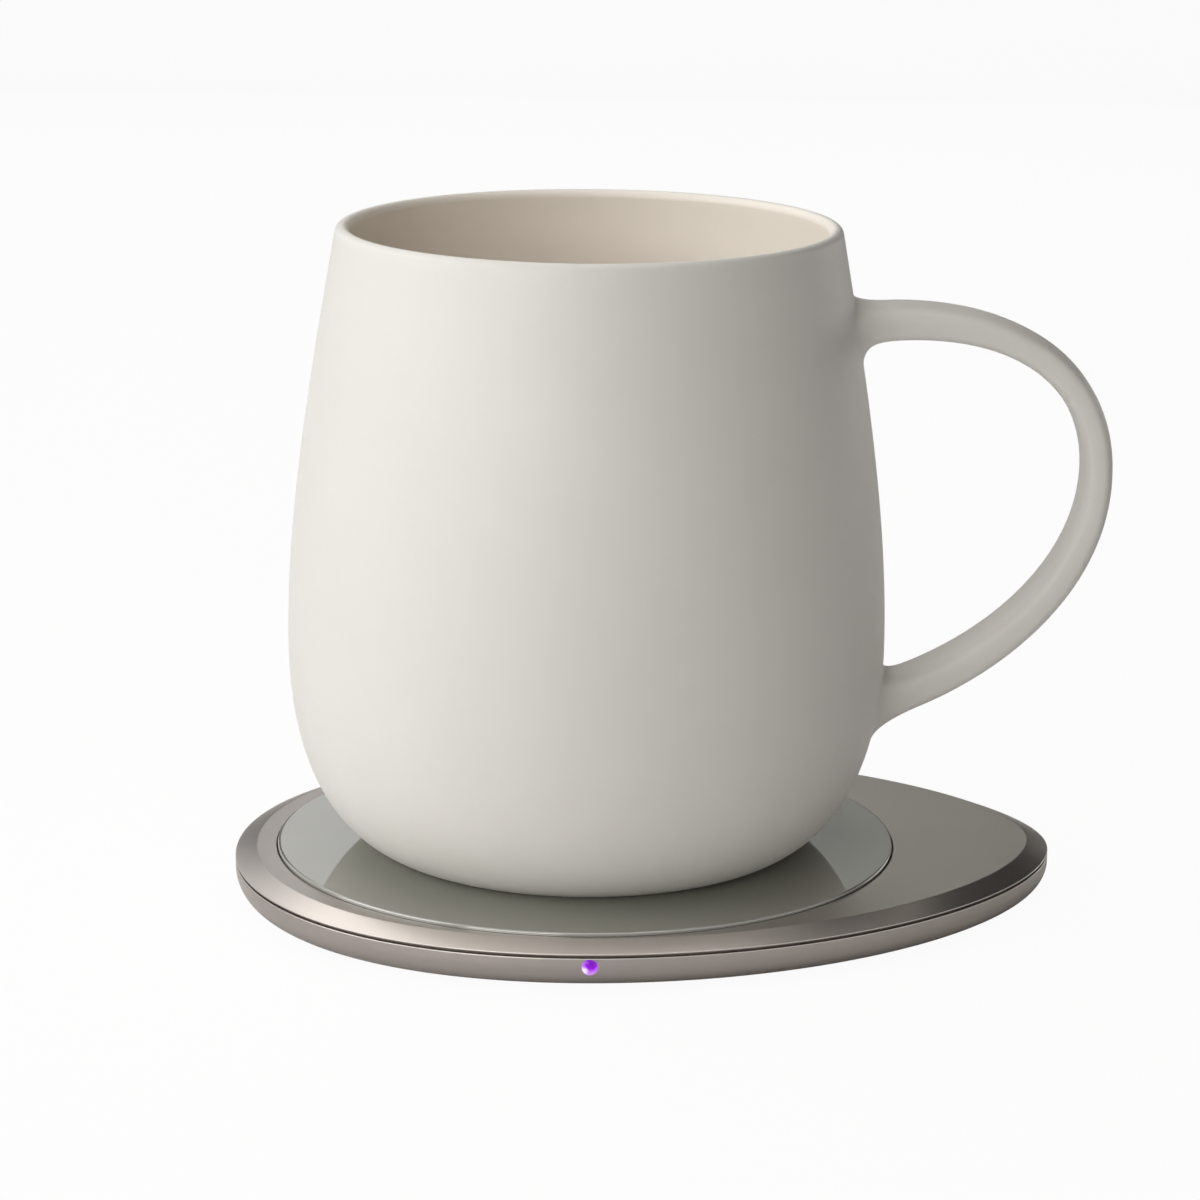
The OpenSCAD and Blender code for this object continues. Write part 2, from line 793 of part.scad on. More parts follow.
// The inner lead runs under the coil in the ferrite's slot, the outer one straight across the rim
module coil_leads() {
    step_x = tray_r + fit_gap;
    start_x = coil_r - coil_wire_w / 2;
    lead_top = board_top + lead_t;
    outer_x = coil_out_r * cos(coil_end_angle);
    outer_y = coil_out_r * sin(coil_end_angle) - lead_w;
    color(copper_colour)
        on_pad() {
            union() {
                bar(start_x, step_x + lead_t, lead_w, tray_top, tray_top + lead_t);
                bar(start_x, start_x + coil_wire_w, lead_w, tray_top, ferrite_top);
                bar(step_x, step_x + lead_t, lead_w, tray_top, lead_top);
                bar(step_x, lead_reach, lead_w, board_top, lead_top);
            }
            difference() {
                translate([0, outer_y, 0])
                    bar(outer_x, lead_reach, lead_w, board_top, lead_top);
                spiral(coil_end, coil_r, coil_pitch, coil_wire_w, ferrite_top - past, coil_top + past);
            }
        }
}

module coil_insulator() {
    color(sheet_colour)
        on_pad()
            washer(sensor_hole_r, tray_r, coil_top, coil_top + insulator_t);
}

module temperature_sensor() {
    color(chip_colour)
        on_pad()
            disc(sensor_d / 2, tray_top, glass_low);
}

module circuit_board() {
    notch_w = inlet_w + 2 * fit_gap;
    color(board_colour)
        on_pad()
            difference() {
                translate([0, 0, board_low])
                    linear_extrude(height = board_t)
                        difference() {
                            intersection() {
                                polygon(pad_outline(board_inset));
                                translate([board_start, -pad_w])
                                    square([pad_l, 2 * pad_w]);
                            }
                            circle(r = board_in_r);
                        }
                at_screws(board_screw_angles)
                    disc(screw_d / 2 + screw_gap, board_low - past, board_top + past);
                at_edge(inlet_angle)
                    bar(-inlet_depth - fit_gap, past, notch_w, board_low - past, board_top + past);
            }
}

// Part of width w and length l on the board, set against the wall under the glass
module board_part(a, w, l, h) {
    x = ledge_r + part_gap;
    rotate([0, 0, a])
        bar(x, x + w, l, board_top, board_top + h);
}

module control_chips() {
    color(chip_colour)
        on_pad() {
            board_part(chip_angles[0], chip_w, chip_w, chip_h);
            board_part(chip_angles[1], small_chip * chip_w, small_chip * chip_w, chip_h);
        }
}

module capacitors() {
    color(sheet_colour)
        on_pad()
            for (a = cap_angles)
                board_part(a, cap_w, cap_l, cap_h);
}

module choke() {
    mid_x = (ledge_r + pad_reach(0) - board_inset) / 2;
    color(ferrite_colour)
        on_pad()
            bar(mid_x - choke_w / 2, mid_x + choke_w / 2, choke_w, board_top, board_top + choke_h);
}

module inlet_shell() {
    hollow_w = inlet_w - 2 * inlet_wall;
    hollow_h = inlet_h - 2 * inlet_wall;
    color(steel_colour)
        on_pad()
            at_edge(inlet_angle)
                translate([0, 0, inlet_mid])
                    union() {
                        difference() {
                            slot_bar(inlet_w, inlet_h, -inlet_depth, -inlet_back);
                            slot_bar(hollow_w, hollow_h, -inlet_depth + inlet_wall, past);
                        }
                        for (s = [-1, 1])
                            translate([0, s * (inlet_w - inlet_wall + wing_w) / 2, board_top - inlet_mid])
                                bar(-inlet_depth, -board_inset - fit_gap, wing_w, 0, wing_t);
                    }
}

module inlet_tongue() {
    block_w = inlet_w - 2 * (inlet_wall + close_gap);
    block_h = inlet_h - 2 * (inlet_wall + close_gap);
    tip = -inlet_back - close_gap;
    root = tip - tongue_l;
    color(chip_colour)
        on_pad()
            at_edge(inlet_angle)
                translate([0, 0, inlet_mid])
                    union() {
                        slot_bar(block_w, block_h, -inlet_depth + inlet_wall, root);
                        bar(root - close_gap, tip, tongue_w, -tongue_t / 2, tongue_t / 2);
                    }
}

module lamp_lens() {
    dome_x = shell_wall + lens_proud - lens_dome;
    dome = [
        for (i = [0 : dome_steps])
            let (a = 90 * i / dome_steps)
                [lens_d / 2 * cos(a), dome_x + lens_dome * sin(a)]
    ];
    color(lamp_colour)
        on_pad()
            at_edge(lamp_angle)
                translate([-shell_wall, 0, lamp_z])
                    rotate([0, 90, 0])
                        rotate_extrude()
                            polygon(concat([[0, 0], [lens_d / 2, 0]], dome));
}

module lamp_chip_led() {
    color(sheet_colour)
        on_pad()
            at_edge(lamp_angle)
                bar(-lamp_board_face, -chip_face, lamp_chip, lamp_board_top - lamp_chip, lamp_board_top);
}

module lamp_board() {
    color(board_colour)
        on_pad()
            at_edge(lamp_angle)
                bar(
                    -lamp_board_face - lamp_board_t, -lamp_board_face,
                    lamp_board_w, flange_top, lamp_board_top
                );
}

// Flex that stands on the flange and runs along the wall from the lamp board to the circuit board
module lamp_flex() {
    flex_inset = lamp_board_face;
    flex_start = pad_point(lamp_angle, flex_inset)[0] + lamp_board_w / 2 + fit_gap;
    color(sheet_colour)
        on_pad()
            translate([0, 0, flange_top])
                linear_extrude(height = flex_h)
                    difference() {
                        intersection() {
                            polygon(pad_outline(flex_inset));
                            translate([flex_start, -pad_w])
                                square([board_start - fit_gap - flex_start, pad_w]);
                        }
                        polygon(pad_outline(flex_inset + flex_t));
                    }
}

// Mug

module mug_cup() {
    section = concat(
        [[0, recess_h], [recess_r, recess_h], [recess_r, step_z], [seat_r, step_z], [seat_r, 0]],
        outer_curve,
        lip_curve,
        inner_curve,
        [[0, floor_z]]
    );
    color(ceramic_colour)
        on_mug()
            rotate_extrude()
                polygon(section);
}

module mug_handle() {
    color(ceramic_colour)
        on_mug()
            difference() {
                skin([for (j = [0 : handle_rings]) handle_ring(j / handle_rings)]);
                rotate_extrude()
                    polygon(concat([[0, 0]], outer_curve, [[0, rim_z]]));
            }
}

module base_cover() {
    color(plastic_colour)
        on_mug()
            disc(cover_r, cover_up, cover_upper);
}

module base_seal() {
    color(rubber_colour)
        on_mug()
            washer(seal_in_r, cover_r, cover_upper, step_z);
}

module receiver_coil() {
    color(copper_colour)
        on_mug()
            spiral(rx_end, rx_r, rx_pitch, rx_wire_w, cover_upper, rx_top);
}

// Sheets of the stack in the foot, open in the middle for the cut-off and at the two pins
module stack_sheet(z0, z1) {
    difference() {
        washer(core_r, stack_r, z0, z1);
        for (r = [rx_r, rx_out_r])
            translate([r, 0, 0])
                disc(pin_d / 2 + fit_gap, z0 - past, z1 + past);
    }
}

module receiver_ferrite() {
    color(ferrite_colour)
        on_mug()
            stack_sheet(rx_top, rx_ferrite_top);
}

module heater_sheet() {
    color(sheet_colour)
        on_mug()
            stack_sheet(rx_ferrite_top, sheet_top);
}

module heater_film() {
    color(sheet_colour)
        on_mug()
            disc(stack_r, sheet_top, film_top);
}

module heater_track() {
    color(copper_colour)
        on_mug()
            spiral(track_end, track_r, track_pitch, track_w, film_top, track_top);
}

module thermal_pad() {
    color(plastic_colour)
        on_mug()
            disc(stack_r, track_top, recess_h);
}

module thermal_cutoff() {
    color(steel_colour)
        on_mug()
            disc(cutoff_r, cover_upper, sheet_top);
}

module heater_pins() {
    color(steel_colour)
        on_mug()
            for (r = [rx_r, rx_out_r])
                translate([r, 0, 0])
                    disc(pin_d / 2, rx_top, sheet_top);
}

top_cover();
base_shell();
seam_gasket();
glass_disc();
glass_glue();
bottom_plate();
foot_mat();
bottom_screws();
coil_tray();
ferrite_sheet();
power_coil();
coil_leads();
coil_insulator();
temperature_sensor();
circuit_board();
control_chips();
capacitors();
choke();
inlet_shell();
inlet_tongue();
lamp_lens();
lamp_chip_led();
lamp_board();
lamp_flex();
mug_cup();
mug_handle();
base_cover();
base_seal();
receiver_coil();
receiver_ferrite();
heater_sheet();
heater_film();
heater_track();
thermal_pad();
thermal_cutoff();
heater_pins();
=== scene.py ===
import math

import bmesh
import bpy
import numpy as np
from mathutils import Matrix, Vector


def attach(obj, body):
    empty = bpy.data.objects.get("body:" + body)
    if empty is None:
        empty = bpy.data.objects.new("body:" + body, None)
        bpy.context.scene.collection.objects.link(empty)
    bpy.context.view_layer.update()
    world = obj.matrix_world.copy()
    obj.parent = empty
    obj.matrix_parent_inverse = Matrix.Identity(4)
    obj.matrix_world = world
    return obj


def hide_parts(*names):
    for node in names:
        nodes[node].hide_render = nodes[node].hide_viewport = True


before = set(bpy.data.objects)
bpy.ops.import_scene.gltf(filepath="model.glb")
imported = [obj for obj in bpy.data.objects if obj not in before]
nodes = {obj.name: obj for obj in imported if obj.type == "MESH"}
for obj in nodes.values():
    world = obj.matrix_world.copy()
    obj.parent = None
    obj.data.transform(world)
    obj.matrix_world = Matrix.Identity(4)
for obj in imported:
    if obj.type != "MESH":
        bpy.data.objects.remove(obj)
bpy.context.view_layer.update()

MM = 0.001
CREASE, ON_AXIS = math.radians(35), 1e-6

# Mug: millimetres, with heights counted from its foot
MUG_H, BELLY_R, BELLY_Z, RIM_R, RIM_LEAN = 94.38, 45.0, 32.2, 37.6, math.radians(10)
FOOT_R, FOOT_SLOPE, FOOT_PULL = 30.4, math.radians(18), 5.1
BELLY_PULL_LOW, BELLY_PULL_TOP, RIM_PULL = 23.8, 18.8, 22.6
WALL_T, LIP_T, FLOOR_R, CORNER_PULL, CORNER_RISE = 3.0, 2.2, 24.0, 12.8, 7.0
RECESS_R, RECESS_H, SEAT_R, STEP_Z, FLOOR_Z = 24.0, 5.6, 25.5, 2.1, 8.8
RECESS_EASE, STEP_EASE, SEAT_EASE = 0.3, 0.2, 0.4
BASE_R, BASE_LOW, BASE_TOP, BASE_EASE_LOW, BASE_EASE_TOP = 25.3, 0.5, 1.7, 0.35, 0.15
CUP_SIDES, BASE_SIDES, LIP_STEPS = 256, 128, 16

# Handle: shares run along its middle line, from the upper root (0) to the lower one (1);
# a flare has its width on the outer side of the bend and on the fingers' side
HANDLE_TOP_Z, HANDLE_LOW_Z, HANDLE_OUT = 78.9, 21.8, (76.18, 57.9)
HANDLE_TILT, HANDLE_SLOPE = math.radians(10.8), math.radians(12.2)
HANDLE_PULLS = (25.3, 15.8, 19.6, 14.5)
HANDLE_W, HANDLE_ROUND = 10.5, 0.6
HANDLE_T = ((0.0, 4.6), (0.5, 4.5), (1.0, 6.2))
HANDLE_START, HANDLE_END, HANDLE_STEPS, HANDLE_SIDES = 0.062, 0.905, 120, 48
ROOT_RISE, ROOT_RISE_END, ROOT_RISE_FADE, ROOT_SINK = 1.3, 0.24, 1.4, 0.6
UPPER_FLARE, LOWER_FLARE = (1.5, 4.4), (2.9, 2.9)

# Pad: millimetres above the table, with insets counted from its edge; 0.07 less than the solid each way,
# so that the finer outline stays inside it
PAD_L, PAD_W, PAD_SHIFT, PAD_TAPER, PAD_TURN = 124.73, 101.73, 9.0, 1.9, math.radians(4.6)
PAD_H, FOOT_H, PLATE_TOP, FLANGE_TOP, SHELL_TOP = 8.0, 1.0, 1.6, 2.4, 5.5
COVER_EDGE, BAND_TOP, RIDGE_Z, SLOPE_W = 5.9, 6.1, 7.45, 3.2
LOW_EDGE_EASE, BAND_EASE, RIDGE_EASE, RIDGE_LAND = 0.06, 0.09, 0.16, 0.3
UNDER_W, UNDER_H, SHELL_WALL, FLANGE_W, PLATE_INSET = 2.8, 3.5, 2.2, 9.0, 3.9
SIDE_LOW, SHELL_EASE, SHELL_EASE_IN, FIT_GAP, PAST = 4.6, 0.16, 0.05, 0.1, 1
POCKET_R, POCKET_LAND, POCKET_EASE = 47.156, 0.12, 0.07
GLASS_R, GLASS_LOW, GLASS_ROUND, GLASS_CHAMFER, GLASS_LAND = 46.956, 6.0, 0.3, 0.15, 0.6
LEDGE_TOP, LEDGE_LOW, WINDOW_R, LEDGE_R = 5.8, 5.0, 43.456, 48.056
LIP_LOW, LIP_OUT, LIP_IN, LIP_CLEAR = 5.45, 2.4, 3.6, 0.02
MAT_INSET, MAT_LAND, MAT_EASE_LOW, MAT_EASE_TOP = 9.5, 1, 0.4, 0.1
SCREW_INSET, BOSS_R, BOSS_BORE = 6.3, 2.0, 1.0
SHELL_SCREWS, BOARD_SCREWS = (145, 215), (50, 310)
BOARD_TOP = 3.2
LAMP_ANGLE, LAMP_Z, LENS_R, LENS_PROUD, LENS_DOME, LENS_GAP = -93.7, 4.15, 1.15, 0.2, 0.4, 0.05
INLET_ANGLE, INLET_MID, INLET_W, INLET_H, INLET_WALL = 70.0, 3.33, 8.94, 3.16, 0.3
INLET_DEPTH, INLET_BACK, TONGUE_W, TONGUE_T, TONGUE_ROOT = 7.3, 1.1, 6.7, 0.7, 5.65
WING_W, WING_T, WING_END, WING_EASE, TONGUE_EASE = 1.2, 0.3, 3.0, 0.06, 0.1
CONTACTS, CONTACT_PITCH, CONTACT_W, CONTACT_SUNK, CONTACT_PROUD = 12, 0.5, 0.28, 0.05, 0.02
SCREW_R, SCREW_TOP, HEAD_R, HEAD_LOW, CROSS_W, CROSS_L, CROSS_TOP = 0.95, 4.6, 1.8, 0.4, 0.6, 2.16, 0.7
TIP_EASE, HEAD_EASE_TOP, HEAD_EASE_LOW = 0.5, 0.08, 0.35
PAD_SIDES = 288

# Windings: turns, first radius, pitch, width, height, underside, rounding
POWER_WINDING = (12 + 6 / 360, 10.0, 2.3, 1.6, 1.4, 3.0, 0.4)
RECEIVER_WINDING = (7, 9.0, 1.9, 1.2, 1.0, PAD_H + 1.7, 0.3)
HEATER_WINDING = (6, 4.7, 2.983, 2.0, 0.2, PAD_H + 4.7, 0.05)


# Curves

def bezier(p, t):
    """Point at t on the cubic with the four corners p."""
    u = 1 - t
    return tuple(a * u**3 + 3 * b * u * u * t + 3 * c * u * t * t + d * t**3 for a, b, c, d in zip(*p))


def curve(p, steps):
    """Points along the cubic with the four corners p."""
    return [bezier(p, i / steps) for i in range(steps + 1)]


def quarter(steps):
    """Angles of a quarter turn."""
    return [math.pi / 2 * i / steps for i in range(steps + 1)]


def eased(corners, closed=True, steps=4):
    """Outline through (u, v, rounding) corners, each corner rounded over that length."""
    count, out, most = len(corners), [], 0.48  # the share of a side that one rounding may take
    for i, (u, v, ease) in enumerate(corners):
        at = Vector((u, v))
        if ease == 0 or (not closed and i in (0, count - 1)):
            out.append((u, v))
            continue
        before = Vector(corners[i - 1][:2]) - at
        after = Vector(corners[(i + 1) % count][:2]) - at
        a = at + before.normalized() * min(ease, most * before.length)
        b = at + after.normalized() * min(ease, most * after.length)
        for k in range(steps + 1):
            t = k / steps
            out.append(tuple(a * (1 - t) ** 2 + at * 2 * t * (1 - t) + b * t * t))
    return out


def pad_reach(a):
    """Distance from the mug's axis to the line that touches the pad's edge square to direction a."""
    mean, long_way = (PAD_L + PAD_W) / 4, (PAD_L - PAD_W) / 4
    return (mean + (PAD_SHIFT - PAD_TAPER) * math.cos(a) + long_way * math.cos(2 * a)
            + PAD_TAPER * math.cos(3 * a))


def pad_drift(a):
    """How fast that distance changes with the direction."""
    long_way = (PAD_L - PAD_W) / 4
    return (-(PAD_SHIFT - PAD_TAPER) * math.sin(a) - 2 * long_way * math.sin(2 * a)
            - 3 * PAD_TAPER * math.sin(3 * a))


def pad_point(a, inset):
    """Point of the pad's outline whose edge faces direction a, that far in from the edge."""
    reach, drift = pad_reach(a) - inset, pad_drift(a)
    x = reach * math.cos(a) - drift * math.sin(a)
    y = reach * math.sin(a) + drift * math.cos(a)
    c, s = math.cos(PAD_TURN), math.sin(PAD_TURN)
    return c * x - s * y, s * x + c * y


def edge_place(degrees, z):
    """Matrix with +X pointing straight out of the pad's edge, at height z."""
    a = math.radians(degrees)
    x, y = pad_point(a, 0)
    return Matrix.Translation((x * MM, y * MM, z * MM)) @ Matrix.Rotation(a + PAD_TURN, 4, "Z")


# Meshes

def lathe(profile, segments, closed=False):
    """Turned solid from (radius, height) points."""
    points, rows = [], []
    for r, z in profile:
        start = len(points)
        if r < ON_AXIS:
            points.append((0.0, 0.0, z))
            rows.append([start] * segments)
        else:
            for k in range(segments):
                a = 2 * math.pi * k / segments
                points.append((r * math.cos(a), r * math.sin(a), z))
            rows.append(list(range(start, start + segments)))
    return points, strips(rows, closed)


def strips(rows, closed=False):
    """Faces between rows of point numbers, each row a closed ring."""
    faces, count = [], len(rows[0])
    pairs = list(zip(rows, rows[1:])) + ([(rows[-1], rows[0])] if closed else [])
    for low, high in pairs:
        for i in range(count):
            j = (i + 1) % count
            face = [low[i], low[j], high[j], high[i]]
            face = [p for k, p in enumerate(face) if p not in face[:k]]
            if len(face) > 2:
                faces.append(face)
    return faces


def loft(rings, closed=False):
    """Skin through rings of equal point count, with flat ends unless it closes on itself."""
    count = len(rings[0])
    rows = [list(range(k * count, (k + 1) * count)) for k in range(len(rings))]
    faces = strips(rows, closed)
    if not closed:
        faces += [rows[0][::-1], rows[-1]]
    return [p for ring in rings for p in ring], faces


def merge(*solids):
    """Several solids as one list of points and faces."""
    points, faces = [], []
    for some_points, some_faces in solids:
        faces += [[i + len(points) for i in face] for face in some_faces]
        points += some_points
    return points, faces


def placed(solid, matrix):
    """Solid in millimetres, moved by a matrix in metres."""
    points, faces = solid
    return [tuple((matrix @ (Vector(p) * MM)) / MM) for p in points], faces


def add_object(name, data):
    """Object in the scene, made from a mesh, a lamp or a camera."""
    thing = bpy.data.objects.new(name, data)
    bpy.context.scene.collection.objects.link(thing)
    return thing


def solid_mesh(name, solid):
    """Mesh from points in millimetres, with its faces turned outwards."""
    points, faces = solid
    mesh = bpy.data.meshes.new(name)
    mesh.from_pydata([tuple(c * MM for c in p) for p in points], [], faces)
    work = bmesh.new()
    work.from_mesh(mesh)
    bmesh.ops.recalc_face_normals(work, faces=work.faces)
    work.to_mesh(mesh)
    work.free()
    return mesh


def make_piece(name, solid, finish, body, stands_for=()):
    """Object from a solid, riding on a body in place of the nodes it stands for."""
    finish_piece(add_object(name, solid_mesh(name, solid)), finish, body, stands_for)


def finish_piece(piece, finish, body, stands_for):
    """Smooth shading with sharp creases, the finish, and the piece's place among the bodies."""
    mesh = piece.data
    mesh.materials.clear()
    mesh.materials.append(finish)
    mesh.shade_smooth()
    mesh.set_sharp_from_angle(angle=CREASE)
    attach(piece, body)
    if stands_for:
        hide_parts(*stands_for)


def cut_out(solid, *cutters):
    """Mesh of a solid with other solids taken out of it."""
    made = [add_object("rough", solid_mesh("rough", some)) for some in (solid, *cutters)]
    for cutter in made[1:]:
        step = made[0].modifiers.new("cut", "BOOLEAN")
        step.object, step.operation, step.solver = cutter, "DIFFERENCE", "EXACT"
    bpy.context.view_layer.update()
    seen = made[0].evaluated_get(bpy.context.evaluated_depsgraph_get())
    mesh = bpy.data.meshes.new_from_object(seen)
    for rough in made:
        bpy.data.objects.remove(rough)
    return mesh


# Finishes

LEVEL = (1, 1, 0)  # times a position, leaves out its height


def node_group(name, inputs, outputs):
    """Empty shader group with named sockets; returns it with its input and output nodes."""
    group = bpy.data.node_groups.new(name, "ShaderNodeTree")
    for label, kind, start in inputs:
        socket = group.interface.new_socket(label, in_out="INPUT", socket_type=kind)
        if start is not None:
            socket.default_value = start
    for label, kind in outputs:
        group.interface.new_socket(label, in_out="OUTPUT", socket_type=kind)
    return group, group.nodes.new("NodeGroupInput"), group.nodes.new("NodeGroupOutput")


def add_node(tree, kind, links=(), **settings):
    """Node of a kind with its settings; links are (input name or number, source socket or value)."""
    node = tree.nodes.new(kind)
    for key, value in settings.items():
        setattr(node, key, value)
    for key, value in links:
        socket = node.inputs[key]
        if isinstance(value, bpy.types.NodeSocket):
            tree.links.new(value, socket)
        else:
            socket.default_value = value
    return node


def tone_mix(tree, share, first, second):
    """Colour between two tones; each is a socket or a constant."""
    # the mix node uses its socket names again for each kind of data, so those for colours go by number
    node = add_node(tree, "ShaderNodeMix", [(0, share), (6, first), (7, second)], data_type="RGBA")
    return node.outputs[2]


def maths(tree, operation, *values):
    """Result of a math node; each value is a socket or a constant."""
    return add_node(tree, "ShaderNodeMath", enumerate(values), operation=operation).outputs["Value"]


def vector_maths(tree, operation, *values):
    """Vector or, for an operation that gives a number, value of a vector math node."""
    node = add_node(tree, "ShaderNodeVectorMath", enumerate(values), operation=operation)
    return node.outputs["Value" if operation in ("LENGTH", "DISTANCE", "DOT_PRODUCT") else "Vector"]


def object_place(tree):
    """Position in the object's own frame."""
    return add_node(tree, "ShaderNodeTexCoord").outputs["Object"]


def cloudy_tone_group():
    """Colour that drifts between two tones in soft patches."""
    group, start, end = node_group(
        "cloudy tone",
        [("Tone", "NodeSocketColor", None), ("Second tone", "NodeSocketColor", None),
         ("Scale", "NodeSocketFloat", 60.0)],
        [("Color", "NodeSocketColor")],
    )
    patches = add_node(group, "ShaderNodeTexNoise", [
        ("Vector", object_place(group)), ("Scale", start.outputs["Scale"]), ("Detail", 4.0), ("Roughness", 0.55)])
    spread = add_node(group, "ShaderNodeMapRange", [
        ("Value", patches.outputs["Fac"]), ("From Min", 0.32), ("From Max", 0.68)],
        interpolation_type="SMOOTHSTEP")
    both = tone_mix(group, spread.outputs["Result"], start.outputs["Tone"], start.outputs["Second tone"])
    group.links.new(both, end.inputs["Color"])
    return group


def fine_grain_group():
    """Height and roughness of a fine even grain, such as a blasted or moulded face."""
    group, start, end = node_group(
        "fine grain",
        [("Scale", "NodeSocketFloat", 4000.0), ("Low roughness", "NodeSocketFloat", 0.3),
         ("High roughness", "NodeSocketFloat", 0.4)],
        [("Height", "NodeSocketFloat"), ("Roughness", "NodeSocketFloat")],
    )
    where = object_place(group)
    grain = add_node(group, "ShaderNodeTexNoise", [
        ("Vector", where), ("Scale", start.outputs["Scale"]), ("Detail", 2.0), ("Roughness", 0.6)])
    slow = add_node(group, "ShaderNodeTexNoise", [("Vector", where), ("Scale", 90.0), ("Detail", 3.0)])
    both = maths(group, "ADD", grain.outputs["Fac"], slow.outputs["Fac"])
    rough = add_node(group, "ShaderNodeMapRange", [
        ("Value", both), ("From Min", 0.7), ("From Max", 1.3),
        ("To Min", start.outputs["Low roughness"]), ("To Max", start.outputs["High roughness"])])
    group.links.new(grain.outputs["Fac"], end.inputs["Height"])
    group.links.new(rough.outputs["Result"], end.inputs["Roughness"])
    return group


def pale_edge_group():
    """Mask of outer edges, broken by noise, where a finish turns paler."""
    group, start, end = node_group(
        "pale outer edge", [("Amount", "NodeSocketFloat", 0.5)], [("Mask", "NodeSocketFloat")])
    shape = add_node(group, "ShaderNodeNewGeometry")
    edge = add_node(group, "ShaderNodeMapRange", [
        ("Value", shape.outputs["Pointiness"]), ("From Min", 0.52), ("From Max", 0.62)])
    broken = add_node(group, "ShaderNodeTexNoise", [
        ("Vector", object_place(group)), ("Scale", 700.0), ("Detail", 3.0)])
    kept = maths(group, "MULTIPLY", edge.outputs["Result"], broken.outputs["Fac"])
    group.links.new(maths(group, "MULTIPLY", kept, start.outputs["Amount"]), end.inputs["Mask"])
    return group


def strand_group():
    """Height of slanting strands that run round the Z axis, as in a twisted winding."""
    group, start, end = node_group(
        "twisted strands", [("Spacing", "NodeSocketFloat", 0.0006)], [("Height", "NodeSocketFloat")])
    lean = 1.6
    flat = vector_maths(group, "MULTIPLY", object_place(group), LEVEL)
    parts = add_node(group, "ShaderNodeSeparateXYZ", [("Vector", flat)])
    radius = vector_maths(group, "LENGTH", flat)
    angle = maths(group, "ARCTAN2", parts.outputs["Y"], parts.outputs["X"])
    along = maths(group, "MULTIPLY", angle, radius)
    slant = maths(group, "MULTIPLY_ADD", radius, lean, along)
    turns = maths(group, "DIVIDE", slant, start.outputs["Spacing"])
    group.links.new(maths(group, "PINGPONG", turns, 1.0), end.inputs["Height"])
    return group


CLOUDY, GRAIN, PALE_EDGE, STRANDS = cloudy_tone_group(), fine_grain_group(), pale_edge_group(), strand_group()


def place_group(tree, group, **values):
    """Use of a shared group in a finish, with its input values."""
    node = tree.nodes.new("ShaderNodeGroup")
    node.node_tree = group
    for key, value in values.items():
        node.inputs[key.replace("_", " ")].default_value = value
    return node


def new_finish(name):
    """Material with its node tree and its shader."""
    finish = bpy.data.materials.new(name)
    finish.use_nodes = True
    return finish, finish.node_tree, finish.node_tree.nodes["Principled BSDF"]


def grained_finish(name, tone, second, patch, grain, rough, bump, metallic=0.0, specular=0.5, ior=1.5, edge=None):
    """Finish with a drifting tone, a fine grain and, if edge is given, paler outer edges.

    Patch and grain are noise scales, rough is the range of the roughness, bump is (strength, distance)
    and edge is (tone, amount)."""
    finish, tree, shader = new_finish(name)
    shader.inputs["Metallic"].default_value = metallic
    shader.inputs["Specular IOR Level"].default_value = specular
    shader.inputs["IOR"].default_value = ior
    cloud = place_group(tree, CLOUDY, Tone=(*tone, 1), Second_tone=(*second, 1), Scale=patch)
    face = place_group(tree, GRAIN, Scale=grain, Low_roughness=rough[0], High_roughness=rough[1])
    colour = cloud.outputs["Color"]
    if edge:
        # outer edges drawn in a paler tone, broken by noise
        pale_edge = place_group(tree, PALE_EDGE, Amount=edge[1])
        colour = tone_mix(tree, pale_edge.outputs["Mask"], colour, (*edge[0], 1))
    tree.links.new(colour, shader.inputs["Base Color"])
    tree.links.new(face.outputs["Roughness"], shader.inputs["Roughness"])
    bumps = add_node(tree, "ShaderNodeBump", [
        ("Height", face.outputs["Height"]), ("Strength", bump[0]), ("Distance", bump[1])])
    tree.links.new(bumps.outputs["Normal"], shader.inputs["Normal"])
    return finish


def glaze_finish(name):
    """Matte glaze of the cup and its handle."""
    return grained_finish(
        name, tone=(0.85, 0.84, 0.81), second=(0.83, 0.82, 0.785),
        patch=35.0, grain=1500.0, rough=(0.42, 0.52), bump=(0.06, 0.0002))


def cup_finish():
    """Glaze that turns to a warmer, paler cream on the faces that look in towards the cup's axis: partly a cream
    inner glaze, partly painted light for the light bouncing inside the cup.
    """
    finish = glaze_finish("matte white glaze, cream and painted light inside")
    tree = finish.node_tree
    shader = tree.nodes["Principled BSDF"]
    # inner tone: a cream glaze, made paler than the outside glaze as painted light for light bouncing inside the cup
    cream_and_painted_light = (0.98, 0.925, 0.845, 1)
    where = add_node(tree, "ShaderNodeTexCoord")
    outward = vector_maths(tree, "NORMALIZE", vector_maths(tree, "MULTIPLY", where.outputs["Object"], LEVEL))
    facing = vector_maths(tree, "DOT_PRODUCT", outward, where.outputs["Normal"])
    inside = add_node(tree, "ShaderNodeMapRange", [("Value", facing), ("From Min", 0.2), ("From Max", -0.6)])
    tone = shader.inputs["Base Color"].links[0].from_socket
    both = tone_mix(tree, inside.outputs["Result"], tone, cream_and_painted_light)
    tree.links.new(both, shader.inputs["Base Color"])
    return finish


